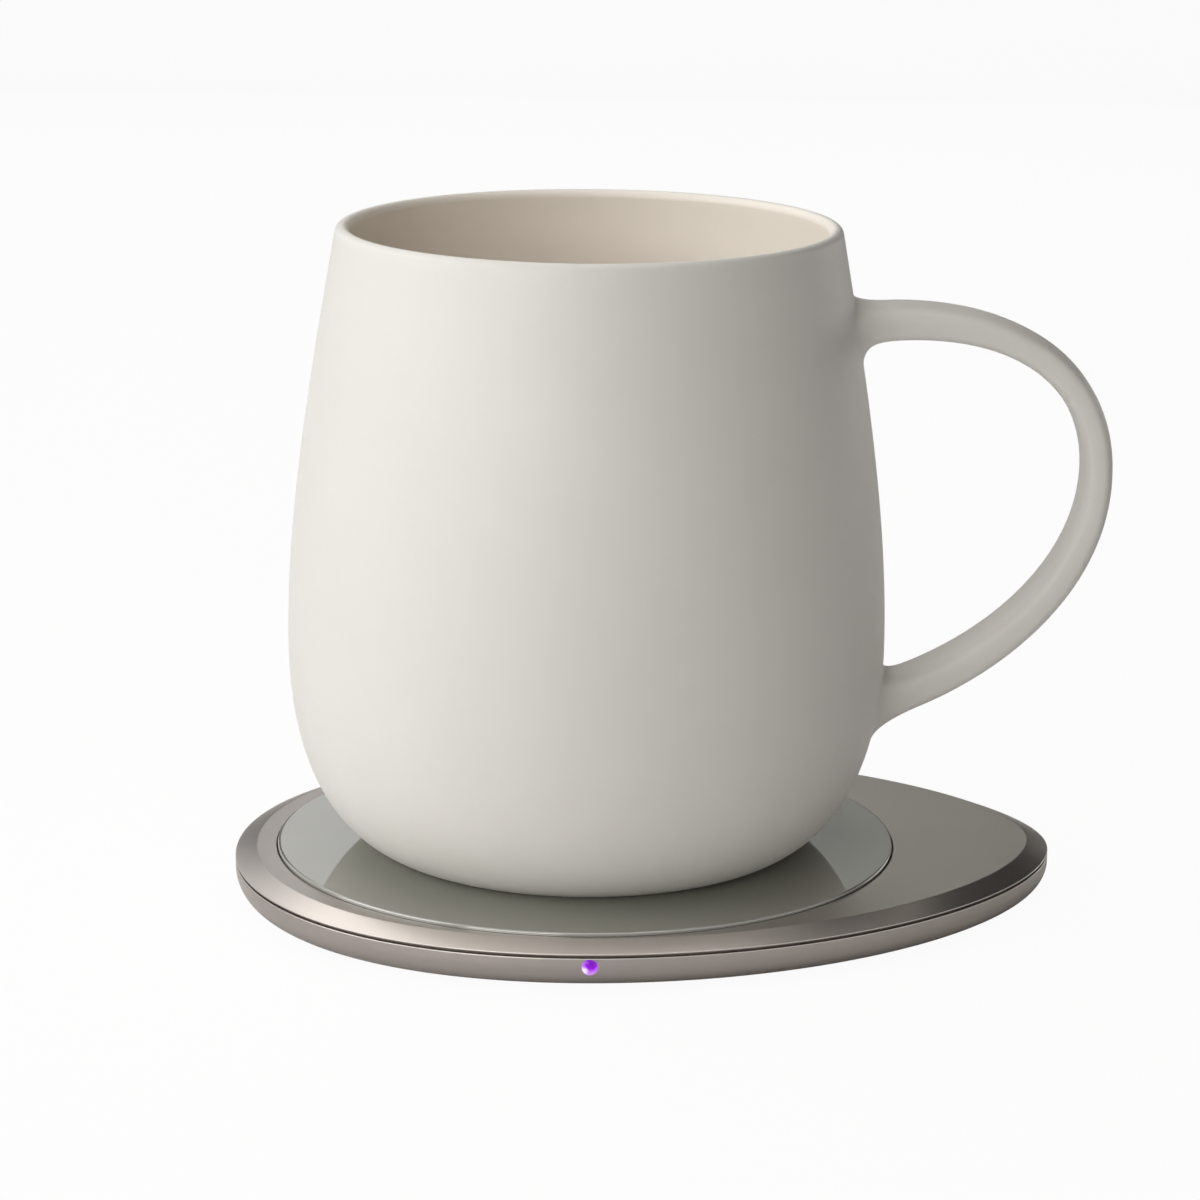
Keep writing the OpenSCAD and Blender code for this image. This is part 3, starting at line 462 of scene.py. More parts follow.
def lamp_finish():
    """Violet lens, lit from behind: dark above, lilac below, with a painted highlight that glows white-lilac at the
    lower left.

    The spots are given across and up from the middle of the lens, in millimetres."""
    dark_spot, dark_reach = (0.2, 0.6), 1.9
    # painted highlight: the spot, reach, core and tone of a white-lilac glow put into the emission at the lens's
    # lower left
    highlight_spot, highlight_reach, highlight_core, highlight_tone = (-0.8, -0.45), 0.75, 0.2, (0.93, 0.8, 0.95, 1)
    tones = ((0.0, (0.1, 0.0, 0.27)), (0.4, (0.3, 0.0, 0.75)), (0.62, (0.55, 0.17, 0.9)), (1.0, (0.66, 0.36, 0.95)))
    finish, tree, shader = new_finish("lit violet lens")
    shader.inputs["Roughness"].default_value = 0.2
    shader.inputs["Specular IOR Level"].default_value = 0.3
    shader.inputs["Emission Strength"].default_value = 1.0
    where = object_place(tree)
    centre = edge_place(LAMP_ANGLE, LAMP_Z).translation

    def away_from(spot):
        """Distance from a spot on the lens."""
        return vector_maths(tree, "DISTANCE", where, (centre[0] + spot[0] * MM, centre[1], centre[2] + spot[1] * MM))

    depth = add_node(tree, "ShaderNodeMapRange", [
        ("Value", away_from(dark_spot)), ("From Min", 0.0), ("From Max", dark_reach * MM)])
    ramp = add_node(tree, "ShaderNodeValToRGB", [("Fac", depth.outputs["Result"])])
    stops = ramp.color_ramp.elements
    for place, tone in tones:
        stop = stops.new(place) if 0 < place < 1 else stops[round(place) * (len(stops) - 1)]
        stop.position, stop.color = place, (*tone, 1)
    # painted highlight, mixed into the glow
    painted_highlight = add_node(tree, "ShaderNodeMapRange", [
        ("Value", away_from(highlight_spot)), ("From Min", highlight_reach * MM), ("From Max", highlight_core * MM)],
        interpolation_type="SMOOTHSTEP")
    glow = tone_mix(tree, painted_highlight.outputs["Result"], ramp.outputs["Color"], highlight_tone)
    cloud = place_group(
        tree, CLOUDY, Tone=(0.05, 0.005, 0.1, 1), Second_tone=(0.035, 0.003, 0.075, 1), Scale=900.0)
    tree.links.new(cloud.outputs["Color"], shader.inputs["Base Color"])
    tree.links.new(glow, shader.inputs["Emission Color"])
    return finish


def strand_finish(name, tone, second, spacing):
    """Copper finish whose bumps are the strands of a twisted winding."""
    finish = grained_finish(
        name, tone=tone, second=second, patch=300.0, grain=4000.0, rough=(0.25, 0.36), bump=(0.1, 0.00008),
        metallic=1.0)
    tree = finish.node_tree
    normal = tree.nodes["Principled BSDF"].inputs["Normal"]
    strands = place_group(tree, STRANDS, Spacing=spacing)
    bumps = add_node(tree, "ShaderNodeBump", [
        ("Height", strands.outputs["Height"]), ("Strength", 0.7), ("Distance", 0.0001),
        ("Normal", normal.links[0].from_socket)])
    tree.links.new(bumps.outputs["Normal"], normal)
    return finish


# CUP_GLAZE is painted paler and warmer inside the cup, for light bouncing there
GLAZE, CUP_GLAZE = glaze_finish("matte white glaze"), cup_finish()
# its outer edges are drawn paler, broken by noise
PAD_METAL = grained_finish(
    "warm grey anodised metal", tone=(0.45, 0.415, 0.39), second=(0.44, 0.405, 0.38),
    patch=40.0, grain=6000.0, rough=(0.30, 0.33), bump=(0.05, 0.00005),
    metallic=1.0, edge=((0.58, 0.54, 0.51), 0.25))
GLASS = grained_finish(
    "grey-green polished glass", tone=(0.25, 0.253, 0.212), second=(0.24, 0.243, 0.204),
    patch=25.0, grain=300.0, rough=(0.03, 0.06), bump=(0.0, 0.0001),
    specular=0.8, ior=2.0)
# dark rubber of the glue and seals; on the seam gasket it also stands in for the shade of the groove between cover
# and shell, as painted shade
DARK_RUBBER_AND_SEAM_SHADE = grained_finish(
    "dark rubber and painted seam shade", tone=(0.2, 0.17, 0.15), second=(0.23, 0.195, 0.175),
    patch=200.0, grain=3000.0, rough=(0.6, 0.75), bump=(0.2, 0.0001))
FOOT_RUBBER = grained_finish(
    "soft foot rubber", tone=(0.07, 0.07, 0.07), second=(0.09, 0.09, 0.088),
    patch=120.0, grain=2500.0, rough=(0.7, 0.85), bump=(0.35, 0.0002))
DARK_PLASTIC = grained_finish(
    "dark moulded plastic", tone=(0.08, 0.08, 0.085), second=(0.1, 0.1, 0.105),
    patch=90.0, grain=3500.0, rough=(0.45, 0.58), bump=(0.2, 0.0001))
BASE_PLASTIC = grained_finish(
    "pale moulded base", tone=(0.70, 0.69, 0.66), second=(0.66, 0.65, 0.62),
    patch=90.0, grain=3500.0, rough=(0.45, 0.58), bump=(0.15, 0.0001))
STEEL = grained_finish(
    "plated steel", tone=(0.62, 0.62, 0.64), second=(0.54, 0.54, 0.56),
    patch=400.0, grain=5000.0, rough=(0.22, 0.34), bump=(0.05, 0.00005), metallic=1.0)
FERRITE = grained_finish(
    "pressed ferrite", tone=(0.05, 0.05, 0.055), second=(0.08, 0.08, 0.085),
    patch=300.0, grain=4000.0, rough=(0.55, 0.7), bump=(0.3, 0.0001))
COPPER = grained_finish(
    "lacquered copper", tone=(0.70, 0.30, 0.14), second=(0.60, 0.24, 0.11),
    patch=300.0, grain=4000.0, rough=(0.25, 0.36), bump=(0.1, 0.00008), metallic=1.0)
COPPER_STRANDS = strand_finish(
    "twisted copper strands", tone=(0.70, 0.30, 0.14), second=(0.58, 0.23, 0.1), spacing=0.00035)
GOLD = grained_finish(
    "gilded contact", tone=(0.83, 0.6, 0.22), second=(0.77, 0.54, 0.18),
    patch=900.0, grain=6000.0, rough=(0.2, 0.3), bump=(0.04, 0.00003), metallic=1.0)
AMBER_FILM = grained_finish(
    "amber film", tone=(0.52, 0.33, 0.10), second=(0.46, 0.28, 0.08),
    patch=150.0, grain=1500.0, rough=(0.25, 0.35), bump=(0.05, 0.0001))
CHIP_PLASTIC = grained_finish(
    "black chip body", tone=(0.022, 0.022, 0.024), second=(0.03, 0.03, 0.032),
    patch=250.0, grain=5000.0, rough=(0.5, 0.62), bump=(0.15, 0.00008))
BOARD_GREEN = grained_finish(
    "green solder mask", tone=(0.02, 0.13, 0.05), second=(0.025, 0.17, 0.07),
    patch=350.0, grain=900.0, rough=(0.2, 0.32), bump=(0.08, 0.0001))
CAPACITOR_TAN = grained_finish(
    "tan capacitor body", tone=(0.58, 0.46, 0.2), second=(0.52, 0.4, 0.17),
    patch=250.0, grain=2500.0, rough=(0.3, 0.42), bump=(0.08, 0.0001))
THERMAL_GREY = grained_finish(
    "grey thermal pad", tone=(0.33, 0.38, 0.44), second=(0.28, 0.33, 0.39),
    patch=300.0, grain=3000.0, rough=(0.6, 0.72), bump=(0.25, 0.0001))
LIT_LENS = lamp_finish()


# Mug

LIP_R = LIP_T / 2
RIM_Z = MUG_H - LIP_R * (1 - math.sin(RIM_LEAN))
RIM_OUT = (RIM_R, RIM_Z)
RIM_IN = (RIM_R - LIP_T * math.cos(RIM_LEAN), RIM_Z - LIP_T * math.sin(RIM_LEAN))
RIM_DOWN = (RIM_PULL * math.sin(RIM_LEAN), -RIM_PULL * math.cos(RIM_LEAN))


def cup_outside(steps=48):
    """Profile of the cup's outside from the foot to the rim, as (radius, height) points."""
    low = [(FOOT_R, 0), (FOOT_R + FOOT_PULL * math.cos(FOOT_SLOPE), FOOT_PULL * math.sin(FOOT_SLOPE)),
           (BELLY_R, BELLY_Z - BELLY_PULL_LOW), (BELLY_R, BELLY_Z)]
    top = [(BELLY_R, BELLY_Z), (BELLY_R, BELLY_Z + BELLY_PULL_TOP),
           (RIM_OUT[0] + RIM_DOWN[0], RIM_OUT[1] + RIM_DOWN[1]), RIM_OUT]
    return curve(low, steps) + curve(top, steps)[1:]


def cup_inside(steps=40):
    """Profile of the cup's inside from the rim down to the floor."""
    inner_r = BELLY_R - WALL_T
    top = [RIM_IN, (RIM_IN[0] + RIM_DOWN[0], RIM_IN[1] + RIM_DOWN[1]),
           (inner_r, BELLY_Z + BELLY_PULL_TOP), (inner_r, BELLY_Z)]
    low = [(inner_r, BELLY_Z), (inner_r, FLOOR_Z + CORNER_RISE),
           (FLOOR_R + CORNER_PULL, FLOOR_Z), (FLOOR_R, FLOOR_Z)]
    return curve(top, steps) + curve(low, steps)[1:]


OUTSIDE = cup_outside()
OUTSIDE_Z = [z for r, z in OUTSIDE]
OUTSIDE_R = [r for r, z in OUTSIDE]


def wall_r(z):
    """Radius of the cup's outside at a height above its foot."""
    return float(np.interp(z, OUTSIDE_Z, OUTSIDE_R))


def cup_solid():
    """Cup with its round lip and, under the foot, the stepped recess for the heater."""
    middle = ((RIM_IN[0] + RIM_OUT[0]) / 2, (RIM_IN[1] + RIM_OUT[1]) / 2)
    lip = []
    for i in range(1, LIP_STEPS):
        a = RIM_LEAN + math.pi * i / LIP_STEPS
        lip.append((middle[0] + LIP_R * math.cos(a), middle[1] + LIP_R * math.sin(a)))
    foot = eased([
        (0, RECESS_H, 0), (RECESS_R, RECESS_H, RECESS_EASE), (RECESS_R, STEP_Z, 0), (SEAT_R, STEP_Z, STEP_EASE),
        (SEAT_R, 0, SEAT_EASE), (FOOT_R, 0, 0)], closed=False)[:-1]
    profile = foot + OUTSIDE + lip + cup_inside() + [(FLOOR_R / 2, FLOOR_Z), (0, FLOOR_Z)]
    return lathe([(r, z + PAD_H) for r, z in profile], CUP_SIDES)


HANDLE_TOP = (wall_r(HANDLE_TOP_Z) - WALL_T, HANDLE_TOP_Z)
HANDLE_LOW = (wall_r(HANDLE_LOW_Z) - WALL_T, HANDLE_LOW_Z)


def handle_mid(s):
    """Middle line of the handle in the upright plane, from the upper root (0) to the lower one (1)."""
    top_pull, side_top, side_low, low_pull = HANDLE_PULLS
    if s < 0.5:
        return Vector(bezier([
            HANDLE_TOP,
            (HANDLE_TOP[0] + top_pull * math.cos(HANDLE_TILT), HANDLE_TOP[1] + top_pull * math.sin(HANDLE_TILT)),
            (HANDLE_OUT[0], HANDLE_OUT[1] + side_top), HANDLE_OUT], 2 * s))
    return Vector(bezier([
        HANDLE_OUT, (HANDLE_OUT[0], HANDLE_OUT[1] - side_low),
        (HANDLE_LOW[0] + low_pull * math.cos(HANDLE_SLOPE), HANDLE_LOW[1] + low_pull * math.sin(HANDLE_SLOPE)),
        HANDLE_LOW], 2 * s - 1))


def handle_way(s):
    """Direction of the middle line."""
    near = 0.001
    return (handle_mid(min(1, s + near)) - handle_mid(max(0, s - near))).normalized()


def handle_ring(s):
    """Slightly boxed oval round the handle's middle line, as points with heights from the mug's foot.

    Near the upper root it rises on its outer side."""
    mid, way = handle_mid(s), handle_way(s)
    half_t = float(np.interp(s, [a for a, t in HANDLE_T], [t for a, t in HANDLE_T])) / 2
    rise = ROOT_RISE * max(0, 1 - s / ROOT_RISE_END) ** ROOT_RISE_FADE
    ring = []
    for k in range(HANDLE_SIDES):
        a = 2 * math.pi * k / HANDLE_SIDES
        c, d = math.cos(a), math.sin(a)
        u = half_t * math.copysign(abs(c) ** HANDLE_ROUND, c) + rise * max(0, c)
        v = HANDLE_W / 2 * math.copysign(abs(d) ** HANDLE_ROUND, d)
        ring.append(Vector((mid[0] - way[1] * u, v, mid[1] + way[0] * u)))
    return ring


def on_wall(p):
    """Nearest point of the cup's outside at the same height."""
    scale = wall_r(p[2]) / math.hypot(p[0], p[1])
    return Vector((p[0] * scale, p[1] * scale, p[2]))


def hit_wall(p, way):
    """Where the line from p along way meets the cup's outside."""
    low, high, halvings = 0.0, 25.0, 40
    for _ in range(halvings):
        t = (low + high) / 2
        q = p + way * t
        if math.hypot(q[0], q[1]) > wall_r(q[2]):
            low = t
        else:
            high = t
    return p + way * low


def root_skirt(ring, way, flare, steps=12):
    """Rings that flare from the handle's end ring out onto the cup's wall, and then in under its surface."""
    outer, inner = flare
    hits = [hit_wall(p, way) for p in ring]
    centre = sum(hits, Vector((0, 0, 0))) / len(hits)
    lands = []
    for k, hit in enumerate(hits):
        share = (1 + math.cos(2 * math.pi * k / HANDLE_SIDES)) / 2
        lands.append(on_wall(hit + (hit - centre).normalized() * (inner + (outer - inner) * share)))
    rings = []
    for k in range(1, steps + 1):
        t = k / steps
        rings.append([
            a * (1 - t) ** 2 + b * 2 * t * (1 - t) + c * t * t for a, b, c in zip(ring, hits, lands)])
    rings.append([land - Vector((land[0], land[1], 0)).normalized() * ROOT_SINK for land in lands])
    return rings


def handle_solid():
    """Strap between its two roots, as one skin."""
    length = HANDLE_END - HANDLE_START
    body = [handle_ring(HANDLE_START + length * j / HANDLE_STEPS) for j in range(HANDLE_STEPS + 1)]
    top_way, low_way = handle_way(HANDLE_START), handle_way(HANDLE_END)
    upper = root_skirt(body[0], Vector((-top_way[0], 0, -top_way[1])), UPPER_FLARE)
    lower = root_skirt(body[-1], Vector((low_way[0], 0, low_way[1])), LOWER_FLARE)
    rings = upper[::-1] + body + lower
    return loft([[(p[0], p[1], p[2] + PAD_H) for p in ring] for ring in rings])


make_piece("cup", cup_solid(), CUP_GLAZE, "mug", ["mug_cup"])
make_piece("strap_handle", handle_solid(), GLAZE, "mug", ["mug_handle"])
base_profile = eased([
    (0, BASE_TOP, 0), (BASE_R, BASE_TOP, BASE_EASE_TOP), (BASE_R, BASE_LOW, BASE_EASE_LOW), (0, BASE_LOW, 0)],
    closed=False)
make_piece("base_disc", lathe([(r, z + PAD_H) for r, z in base_profile], BASE_SIDES), BASE_PLASTIC,
           "mug", ["base_cover"])


# Pad

PAD_ANGLES = [2 * math.pi * k / PAD_SIDES for k in range(PAD_SIDES)]


def pad_ring(inset, z):
    """Ring that follows the pad's outline, that far in from its edge."""
    return [(*pad_point(a, inset), z) for a in PAD_ANGLES]


def round_ring(r, z):
    """Round ring with its points in step with those of pad_ring."""
    return [(r * math.cos(a + PAD_TURN), r * math.sin(a + PAD_TURN), z) for a in PAD_ANGLES]


def cover_solid():
    """Cover with its sloped edge, the pocket and ledge for the glass, the lip and the screw bosses."""
    edge = eased([
        (LIP_OUT, COVER_EDGE, 0), (0, COVER_EDGE, LOW_EDGE_EASE), (0, BAND_TOP, BAND_EASE),
        (SLOPE_W, RIDGE_Z, RIDGE_EASE), (SLOPE_W + RIDGE_LAND, RIDGE_Z, 0)], closed=False)
    rings = [pad_ring(u, v) for u, v in edge]
    pocket = eased([
        (POCKET_R + POCKET_LAND, RIDGE_Z, 0), (POCKET_R, RIDGE_Z, POCKET_EASE), (POCKET_R, LEDGE_TOP, 0),
        (WINDOW_R, LEDGE_TOP, 0), (WINDOW_R, LEDGE_LOW, 0)], closed=False)
    rings += [round_ring(r, z) for r, z in pocket]
    lip_ring = pad_ring(LIP_IN + LIP_CLEAR, 0)
    ledge_ring = round_ring(LEDGE_R, 0)
    held = [p if math.hypot(p[0], p[1]) < math.hypot(q[0], q[1]) else q for p, q in zip(ledge_ring, lip_ring)]
    rings += [[(x, y, z) for x, y, _ in held] for z in (LEDGE_LOW, COVER_EDGE)]
    rings += [pad_ring(u, v) for u, v in ((LIP_IN, COVER_EDGE), (LIP_IN, LIP_LOW), (LIP_OUT, LIP_LOW))]
    solids = [loft(rings, closed=True)]
    for angles, low in ((SHELL_SCREWS, FLANGE_TOP), (BOARD_SCREWS, BOARD_TOP)):
        for degrees in angles:
            x, y = pad_point(math.radians(degrees), SCREW_INSET)
            boss = lathe([(BOSS_BORE, low), (BOSS_R, low), (BOSS_R, COVER_EDGE), (BOSS_BORE, COVER_EDGE)],
                         segments=40, closed=True)
            solids.append(placed(boss, Matrix.Translation((x * MM, y * MM, 0))))
    return merge(*solids)


def slot_outline(w, h, count=40):
    """Oval with round ends in the plane across the inlet."""
    out = []
    for k in range(count):
        a = 2 * math.pi * k / count
        out.append(((w - h) / 2 * (1 if math.cos(a) > 0 else -1) + h / 2 * math.cos(a), h / 2 * math.sin(a)))
    return out


def slot_rings(stations):
    """Rings of an oval that changes size along the inlet's depth: (x, width, height)."""
    return [[(x, y, z) for y, z in slot_outline(w, h)] for x, w, h in stations]


def shell_mesh():
    """Lower shell with its rounded underside, flange, plate recess, inlet mouth and lens bore."""
    under = []
    for a in quarter(16)[::-1]:
        under.append((UNDER_W * (1 - math.cos(a)), FOOT_H + UNDER_H * (1 - math.sin(a))))
    section = under + eased([
        (0, SIDE_LOW, 0), (0, SHELL_TOP, SHELL_EASE), (SHELL_WALL, SHELL_TOP, SHELL_EASE_IN),
        (SHELL_WALL, FLANGE_TOP, 0)], closed=False)
    recess = PLATE_INSET - FIT_GAP
    section += [(FLANGE_W, FLANGE_TOP), (FLANGE_W, PLATE_TOP), (recess, PLATE_TOP), (recess, FOOT_H)]
    shell = loft([pad_ring(u, v) for u, v in section], closed=True)
    mouth_size = (INLET_W + FIT_GAP, INLET_H + FIT_GAP)
    mouth = loft(slot_rings([(-FLANGE_W - PAST, *mouth_size), (PAST, *mouth_size)]))
    bore_r, bore_sides = LENS_R + LENS_GAP, 48
    bore = loft([[(x, bore_r * math.cos(a), bore_r * math.sin(a))
                  for a in [2 * math.pi * k / bore_sides for k in range(bore_sides)]]
                 for x in (-SHELL_WALL - PAST, PAST)])
    return cut_out(shell, placed(mouth, edge_place(INLET_ANGLE, INLET_MID)),
                   placed(bore, edge_place(LAMP_ANGLE, LAMP_Z)))


def smooth_shell_normals(mesh):
    """Gives the shell's outer face the exact normals of its outline, so that the cuts leave no dents
    in its shine."""
    points = np.empty(len(mesh.vertices) * 3)
    mesh.vertices.foreach_get("co", points)
    points = points.reshape(-1, 3) / MM
    c, s = math.cos(-PAD_TURN), math.sin(-PAD_TURN)
    x, y, z = c * points[:, 0] - s * points[:, 1], s * points[:, 0] + c * points[:, 1], points[:, 2]
    near, eased_top, directions = 0.012, 0.25, 1440
    angles = np.linspace(0, 2 * math.pi, directions, endpoint=False)
    reach = np.array([pad_reach(a) for a in angles])
    room = reach[None, :] - x[:, None] * np.cos(angles)[None, :] - y[:, None] * np.sin(angles)[None, :]
    best = room.argmin(1)
    inset, facing = room.min(1), angles[best] + PAD_TURN
    side = np.clip((UNDER_W - inset) / UNDER_W, 0, 1)
    drop = np.clip((FOOT_H + UNDER_H - z) / UNDER_H, 0, 1)
    curved = abs(side**2 + drop**2 - 1) < near
    straight = (abs(inset) < near) & (z >= FOOT_H + UNDER_H) & (z < SHELL_TOP - eased_top)
    outer = (curved & (z < FOOT_H + UNDER_H)) | straight
    flat, down = side / UNDER_W, -drop / UNDER_H
    length = np.hypot(flat, down)
    length[length == 0] = 1
    normals = np.stack([flat / length * np.cos(facing), flat / length * np.sin(facing), down / length], 1)
    loops = np.zeros((len(mesh.loops), 3))
    for face in mesh.polygons:
        numbers = list(face.vertices)
        if outer[numbers].all():
            for loop, number in zip(face.loop_indices, numbers):
                loops[loop] = normals[number]
    mesh.normals_split_custom_set(loops.tolist())


make_piece("cover_plate", cover_solid(), PAD_METAL, "pad", ["top_cover"])
shell = add_object("lower_shell", shell_mesh())
finish_piece(shell, PAD_METAL, "pad", ["base_shell"])
smooth_shell_normals(shell.data)

glass_profile = [(0, GLASS_LOW), (GLASS_R - GLASS_CHAMFER, GLASS_LOW), (GLASS_R, GLASS_LOW + GLASS_CHAMFER)]
for a in quarter(8):
    glass_profile.append((GLASS_R - GLASS_ROUND * (1 - math.cos(a)), PAD_H - GLASS_ROUND * (1 - math.sin(a))))
glass_profile += [(GLASS_R - GLASS_LAND, PAD_H), (0, PAD_H)]
make_piece("glass_plate", lathe(glass_profile, CUP_SIDES), GLASS, "pad", ["glass_disc"])

dome_start = LENS_PROUD - LENS_DOME
lens_profile = [(0, -SHELL_WALL), (LENS_R, -SHELL_WALL), (LENS_R, dome_start)]
for a in quarter(12)[1:-1]:
    lens_profile.append((LENS_R * math.cos(a), dome_start + LENS_DOME * math.sin(a)))
lens_profile.append((0, LENS_PROUD))
lens_turn = edge_place(LAMP_ANGLE, LAMP_Z) @ Matrix.Rotation(math.pi / 2, 4, "Y")
make_piece("lens_dome", placed(lathe(lens_profile, segments=64), lens_turn), LIT_LENS,
           "pad", ["lamp_lens"])

mat_edge = eased([
    (MAT_INSET + MAT_LAND, FOOT_H, 0), (MAT_INSET, FOOT_H, MAT_EASE_TOP), (MAT_INSET, 0, MAT_EASE_LOW),
    (MAT_INSET + MAT_LAND, 0, 0)], closed=False)
make_piece("soft_foot_mat", loft([pad_ring(u, v) for u, v in mat_edge]), FOOT_RUBBER,
           "pad", ["foot_mat"])


def bar_solid(x0, x1, y0, y1, z0, z1, ease=0.0):
    """Bar along X with eased long edges."""
    section = eased([(y0, z0, ease), (y1, z0, ease), (y1, z1, ease), (y0, z1, ease)], steps=3)
    return loft([[(x, y, z) for y, z in section] for x in (x0, x1)])


def screw_solids():
    """Pan-head screws with a cross recess, heads down."""
    profile = eased([
        (0, SCREW_TOP, 0), (SCREW_R, SCREW_TOP, TIP_EASE), (SCREW_R, FOOT_H, 0), (HEAD_R, FOOT_H, HEAD_EASE_TOP),
        (HEAD_R, HEAD_LOW, HEAD_EASE_LOW), (0, HEAD_LOW, 0)], closed=False)
    half, arm, apart = CROSS_L / 2, CROSS_W / 2, 0.01
    mesh = cut_out(lathe(profile, segments=64), bar_solid(-half, half, -arm, arm, HEAD_LOW - PAST, CROSS_TOP),
                   bar_solid(-arm, arm, -half, half, HEAD_LOW - PAST, CROSS_TOP - apart))
    screw = [tuple(v.co / MM) for v in mesh.vertices], [list(face.vertices) for face in mesh.polygons]
    bpy.data.meshes.remove(mesh)
    solids = []
    for degrees in SHELL_SCREWS + BOARD_SCREWS:
        x, y = pad_point(math.radians(degrees), SCREW_INSET)
        place = Matrix.Translation((x * MM, y * MM, 0)) @ Matrix.Rotation(math.radians(degrees), 4, "Z")
        solids.append(placed(screw, place))
    return merge(*solids)


def inlet_sleeve():
    """Folded metal sleeve of the inlet with a rolled mouth, and the two wings that hold it on the board."""
    back, mouth, hollow = -INLET_DEPTH, -INLET_BACK, 2 * INLET_WALL
    stations = (  # place along the depth, and how much narrower than the sleeve it is there
        (back, 0.3), (back + 0.04, 0.1), (back + 0.15, 0), (mouth - 0.12, 0), (mouth - 0.03, 0.07), (mouth, 0.24),
        (mouth - 0.04, 0.45), (mouth - 0.2, hollow), (back + INLET_WALL, hollow))
    sleeve = loft(slot_rings([(x, INLET_W - less, INLET_H - less) for x, less in stations]))
    low = BOARD_TOP - INLET_MID
    wings = []
    for side in (-1, 1):
        middle = side * (INLET_W - INLET_WALL + WING_W) / 2
        wings.append(bar_solid(
            back, -WING_END, middle - WING_W / 2, middle + WING_W / 2, low, low + WING_T, WING_EASE))
    return merge(sleeve, *wings)


def tongue_solid():
    """Contact tongue with a rounded tip, standing on its block."""
    gap, bevel = 0.05, 0.1
    tip, root, inset = -INLET_BACK - gap, -TONGUE_ROOT, INLET_WALL + gap
    w, h = INLET_W - 2 * inset, INLET_H - 2 * inset
    block = loft(slot_rings([
        (INLET_WALL - INLET_DEPTH, w, h), (root - bevel, w, h), (root, w - 2 * bevel, h - 2 * bevel)]))
    rings = []
    for x, slim in ((root - gap, 0), (tip - 0.3, 0), (tip - 0.1, 0.08), (tip, 0.22)):
        y, z = TONGUE_W / 2 - slim, TONGUE_T / 2 - slim
        section = eased([(u, v, TONGUE_EASE) for u, v in ((-y, -z), (y, -z), (y, z), (-y, z))], steps=3)
        rings.append([(x, a, b) for a, b in section])
    return merge(block, loft(rings))


def contact_solids():
    """Two rows of contact strips, just proud of the tongue."""
    tip, face, half, ease = -INLET_BACK - 0.45, TONGUE_T / 2, CONTACT_W / 2, 0.015
    made = []
    for side in (-1, 1):
        for k in range(CONTACTS):
            y = (k - (CONTACTS - 1) / 2) * CONTACT_PITCH
            z = sorted((side * (face - CONTACT_SUNK), side * (face + CONTACT_PROUD)))
            made.append(bar_solid(-TONGUE_ROOT, tip, y - half, y + half, *z, ease))
    return merge(*made)


def winding(turns, start_r, pitch, width, height, low, ease, turn=0.0, per_turn=96):
    """Flat spiral of one conductor with rounded edges."""
    section = eased([
        (-width / 2, 0, ease), (width / 2, 0, ease), (width / 2, height, ease), (-width / 2, height, ease)])
    count = round(turns * per_turn)
    rings = []
    for k in range(count + 1):
        a = 2 * math.pi * turns * k / count
        r = start_r + pitch * a / (2 * math.pi)
        rings.append([((r + u) * math.cos(a + turn), (r + u) * math.sin(a + turn), low + v) for u, v in section])
    return loft(rings)


inlet_place = edge_place(INLET_ANGLE, INLET_MID)
make_piece("pan_head_screws", screw_solids(), STEEL, "pad", ["bottom_screws"])
make_piece("inlet_sleeve", placed(inlet_sleeve(), inlet_place), STEEL, "pad", ["inlet_shell"])
make_piece("contact_tongue", placed(tongue_solid(), inlet_place), CHIP_PLASTIC,
           "pad", ["inlet_tongue"])
make_piece("contact_strips", placed(contact_solids(), inlet_place), GOLD, "pad")
make_piece("power_winding", winding(*POWER_WINDING, turn=PAD_TURN), COPPER_STRANDS,
           "pad", ["power_coil"])
make_piece("receiver_winding", winding(*RECEIVER_WINDING), COPPER_STRANDS,
           "mug", ["receiver_coil"])
make_piece("heater_winding", winding(*HEATER_WINDING), COPPER, "mug", ["heater_track"])


# Carried-over nodes

CARRIED_OVER = {
    # the seam gasket's dark ring is partly a seal, partly painted shade in the groove
    DARK_RUBBER_AND_SEAM_SHADE: ["seam_gasket", "glass_glue", "base_seal"],
    DARK_PLASTIC: ["bottom_plate", "coil_tray"],
    STEEL: ["thermal_cutoff", "heater_pins"],
    FERRITE: ["ferrite_sheet", "choke", "receiver_ferrite"],
    COPPER: ["coil_leads"],
    AMBER_FILM: ["coil_insulator", "lamp_flex", "heater_sheet", "heater_film"],
    CHIP_PLASTIC: ["temperature_sensor", "control_chips"],
    CAPACITOR_TAN: ["capacitors", "lamp_chip_led"],
    BOARD_GREEN: ["circuit_board", "lamp_board"],
    THERMAL_GREY: ["thermal_pad"],
}
for finish, names in CARRIED_OVER.items():
    for name in names:
        nodes[name].material_slots[0].material = finish


# Stage, light and camera: metres, degrees for angles, millimetres for the lens and its sensor

FLOOR_SIZE, LAMP_FAR, LAMP_AIM, CARD_AIM = (12, 12), 1.2, (0, 0, 0.05), (0, 0, 0.02)
CAMERA_LENS, CAMERA_SENSOR, CAMERA_CLIP = 122.95, 36.0, (0.05, 20.0)
CAMERA_PLACE, CAMERA_PITCH, CAMERA_YAW, CAMERA_ROLL = (0, -0.6011, 0.19355), 13.862, 0.191, -0.459


def seen_share(tree, camera_share, mirror_share):
    """How white the background is made, for rays from the camera and for rays off or through a shiny face."""
    ray = tree.nodes.new("ShaderNodeLightPath")
    mirror = maths(tree, "MAXIMUM", ray.outputs["Is Glossy Ray"], ray.outputs["Is Transmission Ray"])
    mirrored = maths(tree, "MULTIPLY", mirror, mirror_share)
    direct = maths(tree, "MULTIPLY", ray.outputs["Is Camera Ray"], camera_share)
    return maths(tree, "MAXIMUM", mirrored, direct)


